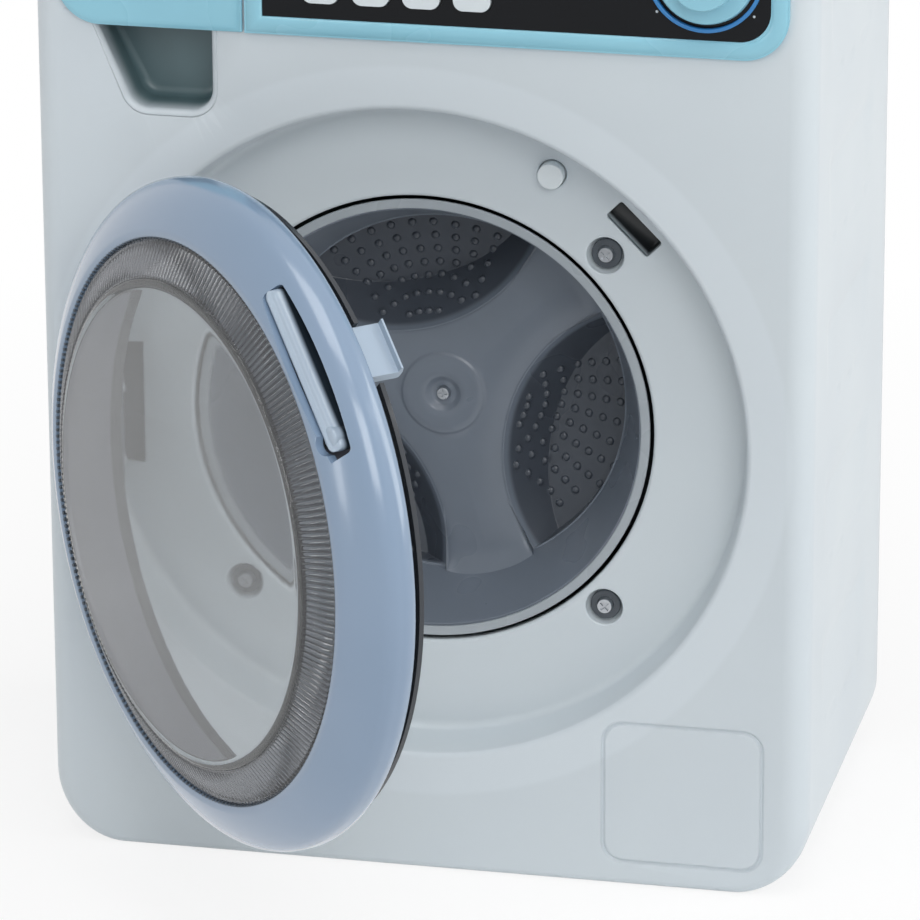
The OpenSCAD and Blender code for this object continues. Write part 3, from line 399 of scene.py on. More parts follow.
def door_sunk(start, end):
    """A mask that grows from one plane of the door to a deeper one, both in mm along the door's own axis."""
    def mask(tree, where):
        along = Vector((-math.sin(OPEN), -math.cos(OPEN), 0))
        zero = Vector(stand((HINGE[0], 0, HINGE[1]))).dot(along) - HINGE[1] / 1000
        depth = add(tree, "ShaderNodeVectorMath", dict(operation="DOT_PRODUCT"), i0=where, i1=along).outputs["Value"]
        return add(tree, "ShaderNodeMapRange", dict(interpolation_type="SMOOTHSTEP"), i0=depth,
                   i1=zero + start / 1000, i2=zero + end / 1000).outputs[0]
    return mask


# Moulded ABS, satin: a pale blue-grey body with a slow drift in shade and a fine skin
body_abs = finish("moulded_abs_body", "#ccd5da", ("#c9d2d8", "#cfd8de"), 60, 0.5, 0.006, (0.30, 0.36),
                  dict(IOR=1.53), halo)
# The same ABS inside the finger scoop, with painted shade that darkens it towards the bottom of the recess
scoop_abs_painted_shade = finish("moulded_abs_scoop_painted_shade", "#c6cfd5", ("#c3ccd2", "#5f767b"), 60, 0.5, 0.006, (0.34, 0.4),
                   dict(IOR=1.53), painted_depth_shade(0.5, 9.0))
# The same ABS in the latch pocket, with painted shade: darker than the body and near black at its bottom
catch_abs_painted_shade = finish("moulded_abs_catch_painted_shade", "#b9c3c8", ("#b4bec4", "#24292c"), 20, 0.5, 0.006, (0.4, 0.46),
                   dict(IOR=1.53), painted_depth_shade(16.0, 18.5))
# ABS of the door ring, bluer than the cabinet, with a soft clear gloss
door_abs = finish("polished_abs_door", "#8297b0", ("#7c92ab",), 50, 0.5, 0.003, (0.2, 0.26),
                  dict(IOR=1.53, Coat_Weight=0.6, Coat_Roughness=0.14))
# Moulded ABS lever, pale blue and satin
lever_abs = finish("moulded_abs_lever", "#a8b8c8", ("#a3b3c4",), 20, 0.5, 0.004, (0.18, 0.24), dict(IOR=1.53))
# The same ABS, with painted shade where the lever runs down inside its slot: dark below the ring's skin
grip_abs_painted_shade = finish("moulded_abs_grip_painted_shade", "#a8b8c8", ("#a3b3c4", "#28313a"), 20, 0.5, 0.004, (0.18, 0.24),
                  dict(IOR=1.53), door_sunk(5.6, 4.2))
# Clear styrene with a light smoke tint: the pane shows what lies behind it, slightly milky, with sharp reflections
smoke = finish("smoked_styrene", "#dcdfe1", ("#d8dbdd",), 40, 2.0, 0.002, (0.02, 0.04),
               dict(IOR=1.5, Transmission_Weight=0.95))
# The same styrene where it is ribbed: darker, as the ribs throw the light aside
smoke_rib = finish("smoked_rib", "#8b8e93", ("#86898e",), 20, 1.0, 0.002, (0.03, 0.05),
                   dict(IOR=1.5, Transmission_Weight=0.88))
# The rear frame's smoke plastic, a quarter see-through
frame_smoke = finish("smoked_frame", "#8d8f99", ("#878993", "#3f4349"), 30, 1.0, 0.004, (0.15, 0.2),
                     dict(IOR=1.5, Transmission_Weight=0.25), door_sunk(-6.2, -7.0))
# Teal ABS of the panel's bezel and the drawer front, satin
teal = finish("moulded_abs_teal", "#8fc8da", ("#8bc3d6",), 40, 0.5, 0.004, (0.24, 0.3), dict(IOR=1.53))
# Black acrylic insert, polished
black = finish("polished_black_acrylic", "#0a0d12", ("#0c0f14",), 40, 1.0, 0.001, (0.08, 0.12),
               dict(IOR=1.49, Specular_IOR_Level=0.2))
# Pale print: the dial's marks
print_pale = finish("pale_print", "#c9d3d8", ("#c4ced4",), 10, 0.3, 0.002, (0.4, 0.46), dict(IOR=1.5))
# Blue ABS ring round the knob
blue = finish("moulded_abs_blue", "#2f7fc0", ("#2b79b9",), 15, 0.4, 0.004, (0.22, 0.28), dict(IOR=1.53))
# Pale ABS of buttons and the drawer tray
pale = finish("moulded_abs_pale", "#d9e1e5", ("#d4dde2",), 20, 0.4, 0.005, (0.28, 0.34), dict(IOR=1.53))
# Drum: slate polypropylene with a satin sheen on the arms, and painted shade that darkens it down in the pockets
drum_pp_painted_shade = finish("moulded_pp_drum_painted_shade", "#727b87", ("#6d7681", "#484e57"), 30, 0.35, 0.01, (0.26, 0.32), dict(IOR=1.49),
                 painted_depth_shade(39.6, 41.0))
# Mouth ring, light grey ABS
rim_abs = finish("moulded_abs_rim", "#a3abb1", ("#9da5ac",), 25, 0.4, 0.006, (0.24, 0.32), dict(IOR=1.53))
# Dark inner plastics: tub, speaker, switches
dark = finish("moulded_abs_dark", "#33383d", ("#2f3439",), 30, 0.4, 0.01, (0.38, 0.46), dict(IOR=1.53))
# Screw cups, dark grey
cup = finish("moulded_abs_cup", "#4a5158", ("#454c53",), 10, 0.3, 0.01, (0.36, 0.44), dict(IOR=1.53))
# Hinge parts: slate nylon, slightly waxy
hinge = finish("moulded_nylon_hinge", "#4e5964", ("#49545f",), 20, 0.4, 0.01, (0.34, 0.42), dict(IOR=1.53))
# Gears and the selector shaft: natural acetal
acetal = finish("moulded_acetal", "#e6e2d6", ("#e0dbcd",), 15, 0.3, 0.006, (0.28, 0.36), dict(IOR=1.48))
# Zinc-plated steel screws and pins: bright, with the fine scatter of the plating
zinc = finish("zinc_plated_steel", "#c3c7cb", ("#b6babf",), 6, 0.25, 0.006, (0.26, 0.36), dict(Metallic=1.0))
# Sintered bronze bush
bronze = finish("sintered_bronze", "#b08d4f", ("#a38148",), 8, 0.2, 0.01, (0.36, 0.46), dict(Metallic=1.0))
# Glass-fibre circuit board under green solder mask
board = finish("solder_mask_board", "#2f6b46", ("#2a6240",), 12, 0.5, 0.01, (0.22, 0.3), dict(IOR=1.5))
# Silicone rubber pad under the buttons
rubber = finish("silicone_pad", "#b8b0a0", ("#b2aa9a",), 10, 0.3, 0.015, (0.55, 0.62), dict(IOR=1.41))
# Display glass, nearly black with a green cast
glass = finish("display_glass", "#14211f", ("#182724",), 12, 1.0, 0.001, (0.05, 0.08),
               dict(IOR=1.5, Coat_Weight=1.0, Coat_Roughness=0.02))
# Printed film on the cells
wrap = finish("cell_film", "#c58b3a", ("#b97f32",), 10, 1.0, 0.003, (0.2, 0.28), dict(IOR=1.5))


# ---------- Cabinet ----------

SIDE_Y = [CORNER] + list(np.arange(24.0, HEIGHT - CORNER - 1, 1.6)) + [HEIGHT - CORNER]
SCALE_TOPS = [61.5 + 45.5 * k for k in range(5)]
SCALE_FOOT = ([22.5, 23.5, 26.4, 46, 65, 83, 91, 96.6], [0, -10, -19.7, -21.4, -23.2, -21.7, -13.4, 0])


def scale_depth(y, depth):
    """How far the side wall lies in at a height and a depth: a column of shallow scales with a crisp lower edge."""
    if not 22.5 < depth < 96.6:
        return 0.0
    foot = np.interp(depth, *SCALE_FOOT)
    fade = min(1.0, (depth - 22.5) / 6, (96.6 - depth) / 10)
    for top in SCALE_TOPS:
        h = y - top
        if foot - 1.6 < h <= foot:
            return 0.45 * fade * (1 - (foot - h) / 1.6)
        if foot < h <= 0:
            return 1.0 * fade * (h - foot) / 24
        if 0 < h < 9:
            return 1.0 * fade * (-foot) / 24 * (1 - h / 9) ** 2
    return 0.0


def body_outline(inset, z, angle=None):
    """An outline of the body. With an angle it is a line of the front edge's rounding, which is small at the bottom."""
    def place(share):
        e = EDGE + (FOOT_EDGE - EDGE) * share * share * (3 - 2 * share)
        return (inset, z) if angle is None else (e * (1 - math.cos(angle)), -e * (1 - math.sin(angle)))

    def corner(cx, cy, a0, first, last):
        points = []
        for k in range(17):
            i, d = place(first + (last - first) * k / 16)
            a = math.radians(a0 + 90 * k / 16)
            points.append((cx + (CORNER - i) * math.cos(a), cy + (CORNER - i) * math.sin(a), d))
        return points

    i, d = place(0.0)
    cx, cy = WIDTH / 2 - CORNER, HEIGHT - CORNER
    side = [(WIDTH / 2 - i - scale_depth(y, -d), y, d) for y in SIDE_Y]
    return (side + corner(cx, cy, 0, 0, 0)[1:] + corner(-cx, cy, 90, 0, 0)
            + [(-x, y, z) for x, y, z in reversed(side)][1:]
            + corner(-cx, CORNER, 180, 0, 1)[1:] + corner(cx, CORNER, 270, 1, 0)[:-1])


def scoop(off):
    """The finger scoop's outline, moved outwards: slanted at the left, rounded at its lower corners."""
    x0, x1, y0, y1, r, slant = -85.4, -56.2, 210.9, 236.0, 6.0, 6.0
    return ([(x1 + off, y1 + off), (x0 - off - slant / 2, y1 + off)]
            + arc(x0 + slant + r, y0 + r, r + off, 197, 270, 10) + arc(x1 - r, y0 + r, r + off, 270, 360, 12))


def at(points, z, cx=0.0, cy=0.0):
    """An outline set at a depth and moved."""
    return [(x + cx, y + cy, z) for x, y in points]


shell = Surface()
back = [(0.0, -z) for z in list(np.arange(8.5, 118.0, 2.2)) + [119.2]] + [(0.8, -DEPTH)]
shell.skin([body_outline(i, z) for i, z in reversed(back)]
           + [body_outline(0, 0, a) for a in np.linspace(0, math.pi / 2, 9)])

# The dish: a rim radius, a drafted wall with a notch for the hinge arm, and a foot radius. The notch takes ten of
# the wall's columns, from NOTCH_ROW down to the floor
COLUMNS = 160
foot_r = DISH_R - DISH_DRAFT * 11.3 / DISH_DEPTH
dish_profile = ([(r, z) for r, z in arc(DISH_R + 1.6, -1.8, 1.8, 90, 180, 6)]
                + [(DISH_R + DISH_DRAFT * z / DISH_DEPTH, z) for z in (-3.2, -6.0, -8.8)]
                + arc(foot_r - 2.5, -11.3, 2.5, 0, -90, 6))
NOTCH_ROW = 7
NOTCH = range(75, 85)
shell.skin([at(ring(0, 0, r, COLUMNS), z, *DISH) for r, z in dish_profile],
           keep=lambda row, column: row < NOTCH_ROW or column not in NOTCH)
floor_edge = ring(0, 0, dish_profile[-1][0], COLUMNS)
floor_edge = floor_edge[:NOTCH.start + 1] + [(-76.6, 17.3), (-76.6, -17.3)] + floor_edge[NOTCH.stop:]
holes = [ring(0, 0, MOUTH_R + 1.1, 144)]
mouth = [(r, z) for r, z in arc(MOUTH_R + 1.1, -DISH_DEPTH - 1.1, 1.1, 90, 180, 5)] + [(MOUTH_R, -18.2)]
shell.skin([at(ring(0, 0, r, 144), z, *DISH) for r, z in mouth])
for angle in SCREW_ANGLES:
    cx, cy = turned_by([(0, 0)], SCREW_RING, angle)[0]
    holes.append(ring(cx, cy, 5.5, 40))
    steps = [(5.5, -13.8), (5.15, -13.95), (5.0, -14.3), (5.0, -17.0), (2.0, -17.0)]
    shell.skin([at(ring(cx, cy, r, 40), z, *DISH) for r, z in steps])
cx, cy = turned_by([(0, 0)], SENSOR_AT, SENSOR_ANGLE)[0]
holes.append(ring(cx, cy, 4.3, 32))
shell.skin([at(ring(cx, cy, r, 32), z, *DISH) for r, z in [(4.3, -13.8), (3.95, -13.95), (3.8, -14.3), (3.8, -15.3)]])
slot_steps = [(0.4, -13.8), (0.1, -13.9), (0.0, -14.2), (0.0, -15.3)]
slot_loops = [turned_by(soft_box(0, 0, 5.9 + 2 * o, 15.5 + 2 * o, 0.8 + o, 4), SLOT_AT, SLOT_ANGLE)
              for o, _ in slot_steps]
holes.append(slot_loops[0])
shell.skin([at(points, z, *DISH) for points, (_, z) in zip(slot_loops, slot_steps)])
shell.plate([[(x + DISH[0], y + DISH[1]) for x, y in loop] for loop in [floor_edge] + holes], -DISH_DEPTH)

# The pocket behind the latch slot, wider on the barb's side
catch = Surface()
catch_loops = [turned_by(soft_box(0.8, 0, 7.5 - t, 15.6 - t, 0.8, 4), SLOT_AT, SLOT_ANGLE) for t in (0.0, 0.4)]
catch.skin([at(catch_loops[0], -15.32, *DISH), at(catch_loops[1], -20.0, *DISH)])
catch.plate([[(x + DISH[0], y + DISH[1]) for x, y in catch_loops[1]]], -20.0)
settle(wall(catch.make("latch_pocket", up=(0, -1, 0)), 0.6), "cabinet", "cabinet_plastic", catch_abs_painted_shade)

# The finger scoop under the drawer
scoop_steps = arc(1.8, -1.8, 1.8, 90, 180, 6) + [(0.0, -11.5)] + arc(-2.5, -11.5, 2.5, 0, -90, 5)[1:]
hollow = Surface()
hollow.skin([at(scoop(o), z) for o, z in scoop_steps])
hollow.plate([scoop(-2.5)], -14.0)
settle(wall(hollow.make("scoop_skin", up=(0, -1, 0)), SHELL_WALL), "cabinet", "cabinet_plastic", scoop_abs_painted_shade)

# The hatch outline: a shallow groove
hatch = [(0.2, 0.0), (-0.05, -0.3), (-0.35, -0.75), (-0.75, -0.75), (-1.05, -0.3), (-1.3, 0.0)]
hatch_loops = [soft_box(71.2, 27, 44.5 + 2 * o, 41 + 2 * o, 6 + o) for o, _ in hatch]
shell.skin([at(points, z) for points, (_, z) in zip(hatch_loops, hatch)])

# The openings behind the panel and the drawer, and the front plate itself
panel_hole = half_box(BEZEL_X, PANEL_MID, 138.05, 38.4, 8.7, 1)
drawer_hole = soft_box(DRAWER_X, PANEL_MID + 1, 42.65, 35, 1, 3)
shell.plate([[p[:2] for p in body_outline(0, 0, math.pi / 2)],
             [(x + DISH[0], y + DISH[1]) for x, y in ring(0, 0, dish_profile[0][0], COLUMNS)],
             scoop(1.8), hatch_loops[0], hatch_loops[-1], panel_hole, drawer_hole], 0.0)
cabinet = shell.make("cabinet_skin", up=(0, -1, 0))
wall(cabinet, SHELL_WALL)
settle(cabinet, "cabinet", "cabinet_plastic", body_abs, "front_shell")

# ---------- Door ----------

# The ring: a crowned front, a rounded shoulder and a tucked-in rear edge
outer = smooth_line([(74.6, 10.55), (78.7, 9.0), (82.4, 7.0), (85.2, 4.9), (87.1, 2.8), (88.05, 0.6), (88.2, -1.6),
                     (88.05, -3.6), (87.1, -5.6), (84.9, -6.9)])


def offset_line(points, off):
    """An open line moved sideways, square to itself."""
    out = []
    for i in range(len(points)):
        a, b = Vector(points[max(i - 1, 0)]), Vector(points[min(i + 1, len(points) - 1)])
        d = (b - a).normalized()
        out.append((points[i][0] + d[1] * off, points[i][1] - d[0] * off))
    return out


inner = offset_line(outer, 2.0)
ring_profile = [(outer[0][0] - 0.2, outer[0][1] - 0.6)] + outer[1:] + inner[::-1]
door_ring = turn("door_ring_skin", ring_profile, 240, swing)

slot_line = ([(76.0, 24.0)] + [(76.0, -16.17)] + arc(77.7, -19, 3.3, 121, 239, 8) + [(76.0, -24.0)]
             + arc(0, 0, 85.1, -16.5, 16.5, 20))
slot_line = turned_by(soften(slot_line, [1.6, 0.6] + [0] * 9 + [0.4, 1.6] + [0] * 19 + [1.6], 3), 0, SLOT_ANGLE)
cutter = Surface()
cutter.skin([at(slot_line, z) for z in (-12.0, 14.0)])
cutter.plate([slot_line], -12.0)
cutter.plate([slot_line], 14.0)
cut(door_ring, cutter.make("slot_cutter", swing))
edged(door_ring, 0.4, 50)
settle(door_ring, "door", "door_plastic", door_abs, "door_ring")

# The window: a domed pane, then a skirt of fine radial ribs 1.65 mm apart with a seat behind the ring
RIBS = 264
dome = [(r, 15.4 - 1.6 * (r / 64) ** 2) for r in (0, 8, 16, 24, 32, 40, 47, 53, 58, 61, 63.4)]
pane = dome + [(63.9, 13.7), (64.15, 13.45), (64.2, 13.1), (64.2, 11.9)] + [(r, z - 2.0) for r, z in dome[-2::-1]]
settle(turn("window_pane", pane, 180, swing, closed=False), "door", "smoke_clear", smoke, "door_window")
skirt_line = [(64.25, 11.6), (64.25, 13.35), (64.7, 13.2), (65.1, 13.15), (72.9, 9.65), (73.4, 9.4),
              (74.0, 9.0), (74.0, 7.7), (75.6, 7.6), (75.6, 6.4), (72.0, 6.4), (72.0, 8.3)]


def ribbed(k, a, r, z):
    """Rounds a rib on the skirt's slope, which is rows 3 and 4 of its line."""
    u = (a * RIBS / (2 * math.pi)) % 1.0
    return r, z + (0.42 * (1 - (2 * u - 1) ** 2) - 0.12 if k in (3, 4) else 0.0)


skirt = turn("window_ribs", skirt_line, RIBS * 8, swing, ribbed)
skirt.data.set_sharp_from_angle(angle=math.radians(38))
settle(skirt, "door", "smoke_clear", smoke_rib)

# The latch lever: a grip whose top slopes outwards, a foot at its end, and the tab with its barb on the pivot barrel
grip = [(-4.6, 1), (-4.6, 7.4), (-4.35, 8.0), (-3.8, 8.3), (-3.3, 8.25), (-2.95, 7.95), (-2.7, 7.5), (-2.2, 7.2),
        (-1.6, 6.95), (-1.1, 6.5), (-0.8, 5.9), (-0.75, 5.2), (-0.75, 1)]
grip_foot = [(0.0, 1.0), (3.0, 1.0), (3.0, 6.6), (2.85, 7.1), (2.5, 7.4), (1.9, 7.6), (0.0, 7.7)]
lever = Surface()
grip_rows = []
for y in [-23, -22.9, -22.6, -22.1, -21.5, -21] + list(range(-18, 19, 3)) + [21, 21.5, 22.1, 22.6, 22.9, 23]:
    over = max(0.0, abs(y) - 21)
    narrow = (0.3 + math.sqrt(max(0.0, 4 - over * over))) / 2.3
    grip_rows.append([(-2.3 + (x + 2.3) * narrow, z - 0.12 * over * over * (z > 1), y) for x, z in grip])
lever.skin(grip_rows)
for row in (grip_rows[0], grip_rows[-1]):
    lever.plate([[p[:2] for p in row]], row[0][2])
lever.skin([[(x, z, y) for x, y in ring(-3.2, -19, r, 32)] for r, z in grip_foot])
barrel, web = ring(-0.8, -2.6, 2.3, 32), [(-2.1, 1.1), (-2.1, -2.6), (0.5, -2.6), (0.5, 1.1)]
for outline, half in ((barrel, 20.0), (web, 19.0)):
    lever.skin([at(outline, y) for y in (-half, half)])
    for y in (-half, half):
        lever.plate([outline], y)
settle(edged(lever.make("latch_lever_grip", at_lever), 0.25, 50), "latch", "door_plastic", grip_abs_painted_shade, "latch_lever")
outline = soften([(-1.6, 1.1), (-1.6, -16.8), (1.5, -16.8), (3.7, -16.2), (3.7, -15.6), (1.6, -15.6), (1.6, 1.1)],
                 [0, 0.8, 0.4, 0.3, 0.2, 0.2, 0])
tab = Surface()
tab.skin([at(outline, y) for y in (-7.1, 7.1)])
for y in (-7.1, 7.1):
    tab.plate([outline], y)
settle(edged(tab.make("latch_lever_tab", at_lever), 0.25, 50), "latch", "door_plastic", lever_abs)

# ---------- Drum ----------

def scatter(name, places, body, slot, material, detail=2):
    """Small domes or beads, made by Geometry Nodes. Each place is (point, size in mm along each axis, turn)."""
    mesh = bpy.data.meshes.new(name)
    mesh.from_pydata([p[0] for p in places], [], [])
    sizes = mesh.attributes.new("size", "FLOAT_VECTOR", "POINT")
    turns = mesh.attributes.new("turn", "FLOAT_VECTOR", "POINT")
    for i, (_, size, turned) in enumerate(places):
        sizes.data[i].vector, turns.data[i].vector = size, turned
    obj = bpy.data.objects.new(name, mesh)
    bpy.context.scene.collection.objects.link(obj)
    tree = bpy.data.node_groups.new(name + "_tree", "GeometryNodeTree")
    tree.interface.new_socket("Geometry", in_out="INPUT", socket_type="NodeSocketGeometry")
    tree.interface.new_socket("Geometry", in_out="OUTPUT", socket_type="NodeSocketGeometry")
    unit = tree.interface.new_socket("Unit radius", in_out="INPUT", socket_type="NodeSocketFloat").identifier
    finish_id = tree.interface.new_socket("Finish", in_out="INPUT", socket_type="NodeSocketMaterial").identifier
    given = add(tree, "NodeGroupInput")
    bead = add(tree, "GeometryNodeMeshIcoSphere", Radius=given.outputs["Unit radius"], Subdivisions=detail).outputs[0]
    bead = add(tree, "GeometryNodeSetShadeSmooth", Geometry=bead).outputs[0]
    size = add(tree, "GeometryNodeInputNamedAttribute", dict(data_type="FLOAT_VECTOR"), Name="size").outputs[0]
    turned = add(tree, "GeometryNodeInputNamedAttribute", dict(data_type="FLOAT_VECTOR"), Name="turn").outputs[0]
    turned = add(tree, "FunctionNodeEulerToRotation", i0=turned).outputs[0]
    copies = add(tree, "GeometryNodeInstanceOnPoints", Points=given.outputs["Geometry"], Instance=bead, Scale=size,
                 Rotation=turned).outputs[0]
    real = add(tree, "GeometryNodeRealizeInstances", Geometry=copies).outputs[0]
    done = add(tree, "GeometryNodeSetMaterial", Geometry=real, Material=given.outputs["Finish"]).outputs[0]
    add(tree, "NodeGroupOutput", i0=done)
    modifier = obj.modifiers.new("scatter", "NODES")
    modifier.node_group = tree
    modifier[unit] = 0.001
    modifier[finish_id] = material
    plain(obj)
    return settle(obj, body, slot, material)


dress("drum", "drum_plastic", drum_pp_painted_shade, 0.5, 30, 3)
dress("drum_rim", "rim_plastic", rim_abs, 0.3)

# The star's arms: crowned between the pockets, filleted up to the drum's wall, with a raised hub round the screw
POCKETS, POCKET_AT, POCKET_R = (105, -15, 225), 65.0, 46.44
pocket_middles = [turned_by([(0, 0)], POCKET_AT, angle)[0] for angle in POCKETS]


def off_pocket(x, y):
    """How far a point lies outside the nearest pocket's upper edge."""
    return min(math.hypot(x - cx, y - cy) for cx, cy in pocket_middles) - POCKET_R


def star_height(r, a):
    """The depth of the arms' front: a crown of 1.9 mm with rounded edges, and a dip under the screw's head."""
    x, y = r * math.cos(a), r * math.sin(a)
    d = max(0.0, off_pocket(x, y) + 0.09)
    z = STAR_Z + 1.9 * (1 - math.exp(-d / 4.5))
    if d < 0.8:
        z -= 0.8 * (1 - math.sqrt(1 - (1 - d / 0.8) ** 2))
    z += 2.2 * (max(0.0, r - 44) / 8) ** 2 + 0.5 * min(1.0, max(0.0, (11.8 - r) / 0.8))
    dip = min(1.0, max(0.0, (5.2 - r) / 2))
    return z * (1 - dip) - 38.35 * dip


def star_reach(a):
    """How far the star reaches at an angle: to a pocket's edge or into the drum's wall."""
    out = 52.3
    for angle in POCKETS:
        t = a - math.radians(angle)
        under = (POCKET_R - 0.09) ** 2 - (POCKET_AT * math.sin(t)) ** 2
        if math.cos(t) > 0 and under > 0:
            out = min(out, POCKET_AT * math.cos(t) - math.sqrt(under))
    return out


star_angles = [2 * math.pi * i / 480 for i in range(480)]
star_lines = [lambda a, r=r: r for r in (0.0, 3.2, 3.7, 4.2, 4.7, 5.2, 7.0, 9.0, 11.0, 11.2, 11.4, 11.6, 11.8)]
star_lines += [lambda a, t=t: 11.8 + (star_reach(a) - 11.8) * t
               for t in [0.05 * i for i in range(1, 18)] + [0.88, 0.91, 0.935, 0.955, 0.97, 0.98, 0.988, 0.994, 1.0]]
star_rows = [[(line(a) * math.cos(a), line(a) * math.sin(a), star_height(line(a), a)) for a in star_angles]
             for line in star_lines]
star_rows += [[(x, y, STAR_BACK) for x, y, _ in star_rows[-1]], [(0.0, 0.0, STAR_BACK)] * len(star_angles)]
crown = Surface()
crown.skin(star_rows)
settle(crown.make("drum_star", at_dish), "drum", "drum_plastic", drum_pp_painted_shade)
# Rows of bumps in a pocket: angle, first and last radius, and how many
bump_rows = [(11.8, 35.6, 48.5, 4), (4.7, 31, 48, 5), (-2.5, 30.9, 51.6, 6), (-9.6, 30.6, 51.2, 6),
             (-17, 30.2, 50.6, 6), (-24.3, 30, 50.1, 6), (-31.9, 33.6, 49.2, 5), (-39.4, 37.2, 45, 3),
             (-47.1, 40.5, 44.6, 2)]
bumps = []
for centre in (0, 120, 240):
    for phi, r0, r1, count in bump_rows:
        for k in range(-3, count):
            r = r0 + (r1 - r0) * k / (count - 1)
            a = math.radians(phi + centre)
            x, y = r * math.cos(a), r * math.sin(a)
            if k < 0 and off_pocket(x, y) > -2.4:
                continue
            z = max(POCKET_FLOOR - POCKET_SLOPE * (DRUM_R - r), STAR_Z + off_pocket(x, y)) - 0.1
            bumps.append((at_dish((x, y, z)), (1.25, 0.8, 1.25), (0, 0, 0)))
scatter("drum_bumps", bumps, "drum", "drum_plastic", drum_pp_painted_shade)

# Beads round the ribs' outer edge give it its knurl; their dark slate is painted shade for the gap behind them
beads = []
for k in range(RIBS):
    a = 2 * math.pi * k / RIBS
    beads.append((swing((74.35 * math.cos(a), 74.35 * math.sin(a), 9.5)), (0.62, 0.62, 0.62), (0, 0, 0)))
scatter("door_window_beading_painted_shade", beads, "door", "frame_plastic", hinge, 1)

# ---------- Panel ----------

def panel_line(middle, length, inset, side):
    """An outline of the bezel (side 1) or of the drawer front (-1), moved inwards."""
    return half_box(middle, PANEL_MID, length - 2 * inset, PANEL_H - 2 * inset, PANEL_CORNER - inset, side)


# The bezel's front is crowned, and the drawer front carries its line on: (inset, height)
crown_steps = [(0.0, 0.3), (0.15, 0.9), (0.6, 1.35), (1.4, 1.62), (2.4, 1.75), (3.4, 1.7), (4.3, 1.45), (4.7, 1.1),
               (4.75, 0.3)]
bezel = Surface()
bezel.skin([at(panel_line(BEZEL_X, BEZEL_LEN, t, 1), z) for t, z in crown_steps + crown_steps[:1]])
settle(bezel.make("bezel_crown"), nodes["panel_bezel"]["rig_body"], "teal_plastic", teal)
front_crown = Surface()
front_crown.skin([at(panel_line(DRAWER_X, DRAWER_LEN, t, -1), z) for t, z in crown_steps[:5]])
for t, z in (crown_steps[0], crown_steps[4]):
    front_crown.plate([panel_line(DRAWER_X, DRAWER_LEN, t, -1)], z)
settle(front_crown.make("drawer_crown"), "drawer", "teal_plastic", teal)
marks = [turned_by([(0, 0)], KNOB_MARKS_R, -40 + 26 * k)[0] for k in range(11)]
scatter("dial_marks", [(stand((x + KNOB[0], y + KNOB[1], 0.9)), (0.38, 0.08, 0.38), (0, 0, 0)) for x, y in marks],
        nodes["panel_lens"]["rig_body"], "pale_plastic", print_pale)

# ---------- Pieces that keep the shape of their solids ----------

for node, slot, material, width in [
    ("door_rear_frame", "frame_plastic", frame_smoke, 0.25),
    ("hinge_arm", "hinge_plastic", hinge, 0.4), ("hinge_bracket", "hinge_plastic", hinge, 0.4),
    ("panel_bezel", "teal_plastic", teal, 0.5), ("drawer_front", "teal_plastic", teal, 0.5),
    ("panel_lens", "black_lens", black, 0.25), ("knob_ring", "blue_plastic", blue, 0.3),
    ("programme_knob", "teal_plastic", teal, 0.5), ("start_button", "pale_plastic", pale, 0.5),
    ("option_button_1", "pale_plastic", pale, 0.4), ("option_button_2", "pale_plastic", pale, 0.4),
    ("option_button_3", "pale_plastic", pale, 0.4), ("option_button_4", "pale_plastic", pale, 0.4),
    ("drawer_tray", "pale_plastic", pale, 0.3), ("sensor_button", "pale_plastic", pale, 0.4),
    ("screw_cups", "cup_plastic", cup, 0.3), ("front_screws", "steel", zinc, 0.12), ("drum_screw", "steel", zinc, 0.12),
    ("rear_cover", "cabinet_plastic", body_abs, 0.4), ("battery_cover", "cabinet_plastic", body_abs, 0.3),
    ("cover_screws", "steel", zinc, 0.12), ("battery_screw", "steel", zinc, 0.12), ("door_screws", "steel", zinc, 0.12),
    ("arm_screws", "steel", zinc, 0.12)]:
    dress(node, slot, material, width)

# Hidden pieces only get a finish
PLAIN = dict(tub=dark, drum_shaft=zinc, shaft_bush=bronze, drum_gear=acetal, gear_screw=zinc, idler_gear=acetal,
             idler_pin=zinc, motor=zinc, motor_shaft=zinc, motor_pinion=acetal, gearbox_plate=hinge,
             gearbox_screws=zinc, selector_switch=dark, selector_shaft=acetal, button_pad=rubber, circuit_board=board,
             board_screws=zinc, display_module=glass, speaker=dark, drawer_guide=pale, sensor_spring=zinc,
             sensor_switch=dark, bracket_screws=zinc, hinge_pin=zinc, latch_pin=zinc, latch_spring=zinc,
             battery_box=body_abs, cells=wrap, cell_contacts=zinc)
for node, material in PLAIN.items():
    nodes[node].data.materials.clear()
    nodes[node].data.materials.append(material)

# ---------- Floor, light and camera ----------

ground = bpy.data.meshes.new("ground")
ground.from_pydata([(-6, -6, 0), (6, -6, 0), (6, 6, 0), (-6, 6, 0)], [], [(0, 1, 2, 3)])
ground = bpy.data.objects.new("ground", ground)
bpy.context.scene.collection.objects.link(ground)


def seen(tree):
    """1 for what is seen straight, in a reflection or through clear plastic, 0 for the light that surfaces get."""
    path = add(tree, "ShaderNodeLightPath")
    most = add(tree, "ShaderNodeMath", dict(operation="MAXIMUM"), i0=path.outputs["Is Camera Ray"],
               i1=path.outputs["Is Glossy Ray"]).outputs[0]
    return add(tree, "ShaderNodeMath", dict(operation="MAXIMUM"), i0=most,
               i1=path.outputs["Is Transmission Ray"]).outputs[0]


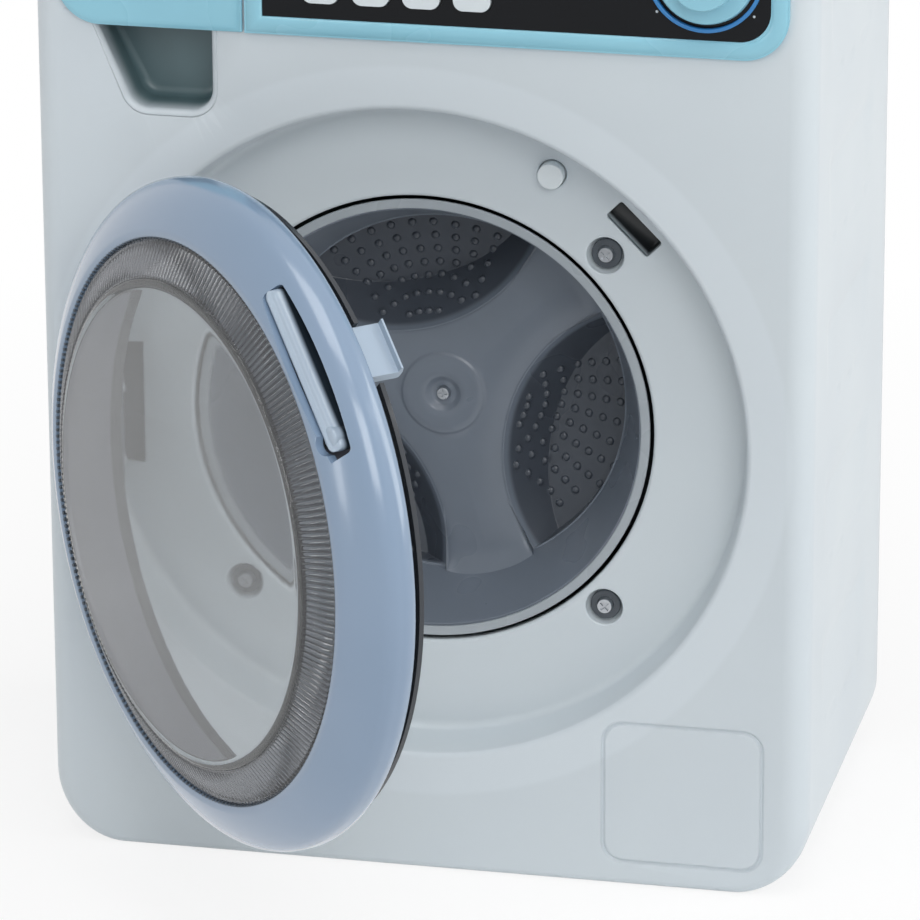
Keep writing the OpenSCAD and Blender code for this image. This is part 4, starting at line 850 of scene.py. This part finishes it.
# Studio paper, white: it keeps a light shadow near the object and runs out to plain white
paper = finish("studio_paper", "#f7f7f7", ("#f5f5f5",), 900, 3.0, 0.001, (0.9, 0.95), dict(IOR=1.3))
tree = paper.node_tree
out = next(n for n in tree.nodes if n.type == "OUTPUT_MATERIAL")
where = add(tree, "ShaderNodeTexCoord").outputs["Object"]
away = add(tree, "ShaderNodeVectorMath", dict(operation="LENGTH"), i0=where).outputs["Value"]
away = add(tree, "ShaderNodeMapRange", i0=away, i1=0.15, i2=0.5, i3=0.8, i4=1.0).outputs[0]
part = add(tree, "ShaderNodeMath", dict(operation="MULTIPLY"), i0=seen(tree), i1=away).outputs[0]
white = add(tree, "ShaderNodeEmission", Color=(1, 1, 1, 1), Strength=1.0).outputs[0]
mixed = add(tree, "ShaderNodeMixShader", i0=part, i1=out.inputs[0].links[0].from_socket, i2=white).outputs[0]
tree.links.new(mixed, out.inputs[0])
ground.data.materials.append(paper)

world = bpy.data.worlds.new("studio")
bpy.context.scene.world = world
world.use_nodes = True
tree = world.node_tree
tree.nodes.clear()
level = add(tree, "ShaderNodeMapRange", i0=seen(tree), i3=0.36, i4=1.0).outputs[0]
add(tree, "ShaderNodeOutputWorld", i0=add(tree, "ShaderNodeBackground", Color=(1, 1, 1, 1), Strength=level).outputs[0])


def softbox(name, place, aim, size, power):
    light = bpy.data.lights.new(name, "AREA")
    light.shape, light.size, light.size_y, light.energy = "RECTANGLE", size[0], size[1], power
    obj = bpy.data.objects.new(name, light)
    bpy.context.scene.collection.objects.link(obj)
    obj.location = place
    obj.rotation_euler = (Vector(aim) - Vector(place)).to_track_quat("-Z", "Y").to_euler()
    return obj


softbox("key_front", (0.9, -2.0, 1.5), (0, 0, 0.14), (1.2, 1.2), 18)
softbox("side_right", (1.9, 0.15, 0.9), (0, 0, 0.14), (1.1, 1.5), 15)
softbox("strip_left", (-1.6, -1.5, 0.5), (0, 0, 0.14), (0.25, 1.6), 6)
softbox("top", (0.1, -0.5, 2.0), (0, 0, 0.1), (1.2, 1.2), 14)

camera = bpy.data.objects.new("camera", bpy.data.cameras.new("camera"))
bpy.context.scene.collection.objects.link(camera)
yaw, pitch, roll = 0.223674, 0.335157, -0.004571
ahead = Vector((-math.sin(yaw) * math.cos(pitch), math.cos(yaw) * math.cos(pitch), -math.sin(pitch)))
across = Vector((math.cos(yaw), math.sin(yaw), 0))
above = across.cross(ahead)
right = math.cos(roll) * across + math.sin(roll) * above
up = -math.sin(roll) * across + math.cos(roll) * above
turned_camera = Matrix((right, up, -ahead)).transposed().to_4x4()
camera.matrix_world = Matrix.Translation((0.368258, -1.632803, 0.680463)) @ turned_camera
camera.data.sensor_width, camera.data.lens = 36.0, 251.17
camera.data.clip_start, camera.data.clip_end = 0.05, 30
bpy.context.scene.camera = camera

bpy.context.scene.view_settings.view_transform = "Standard"
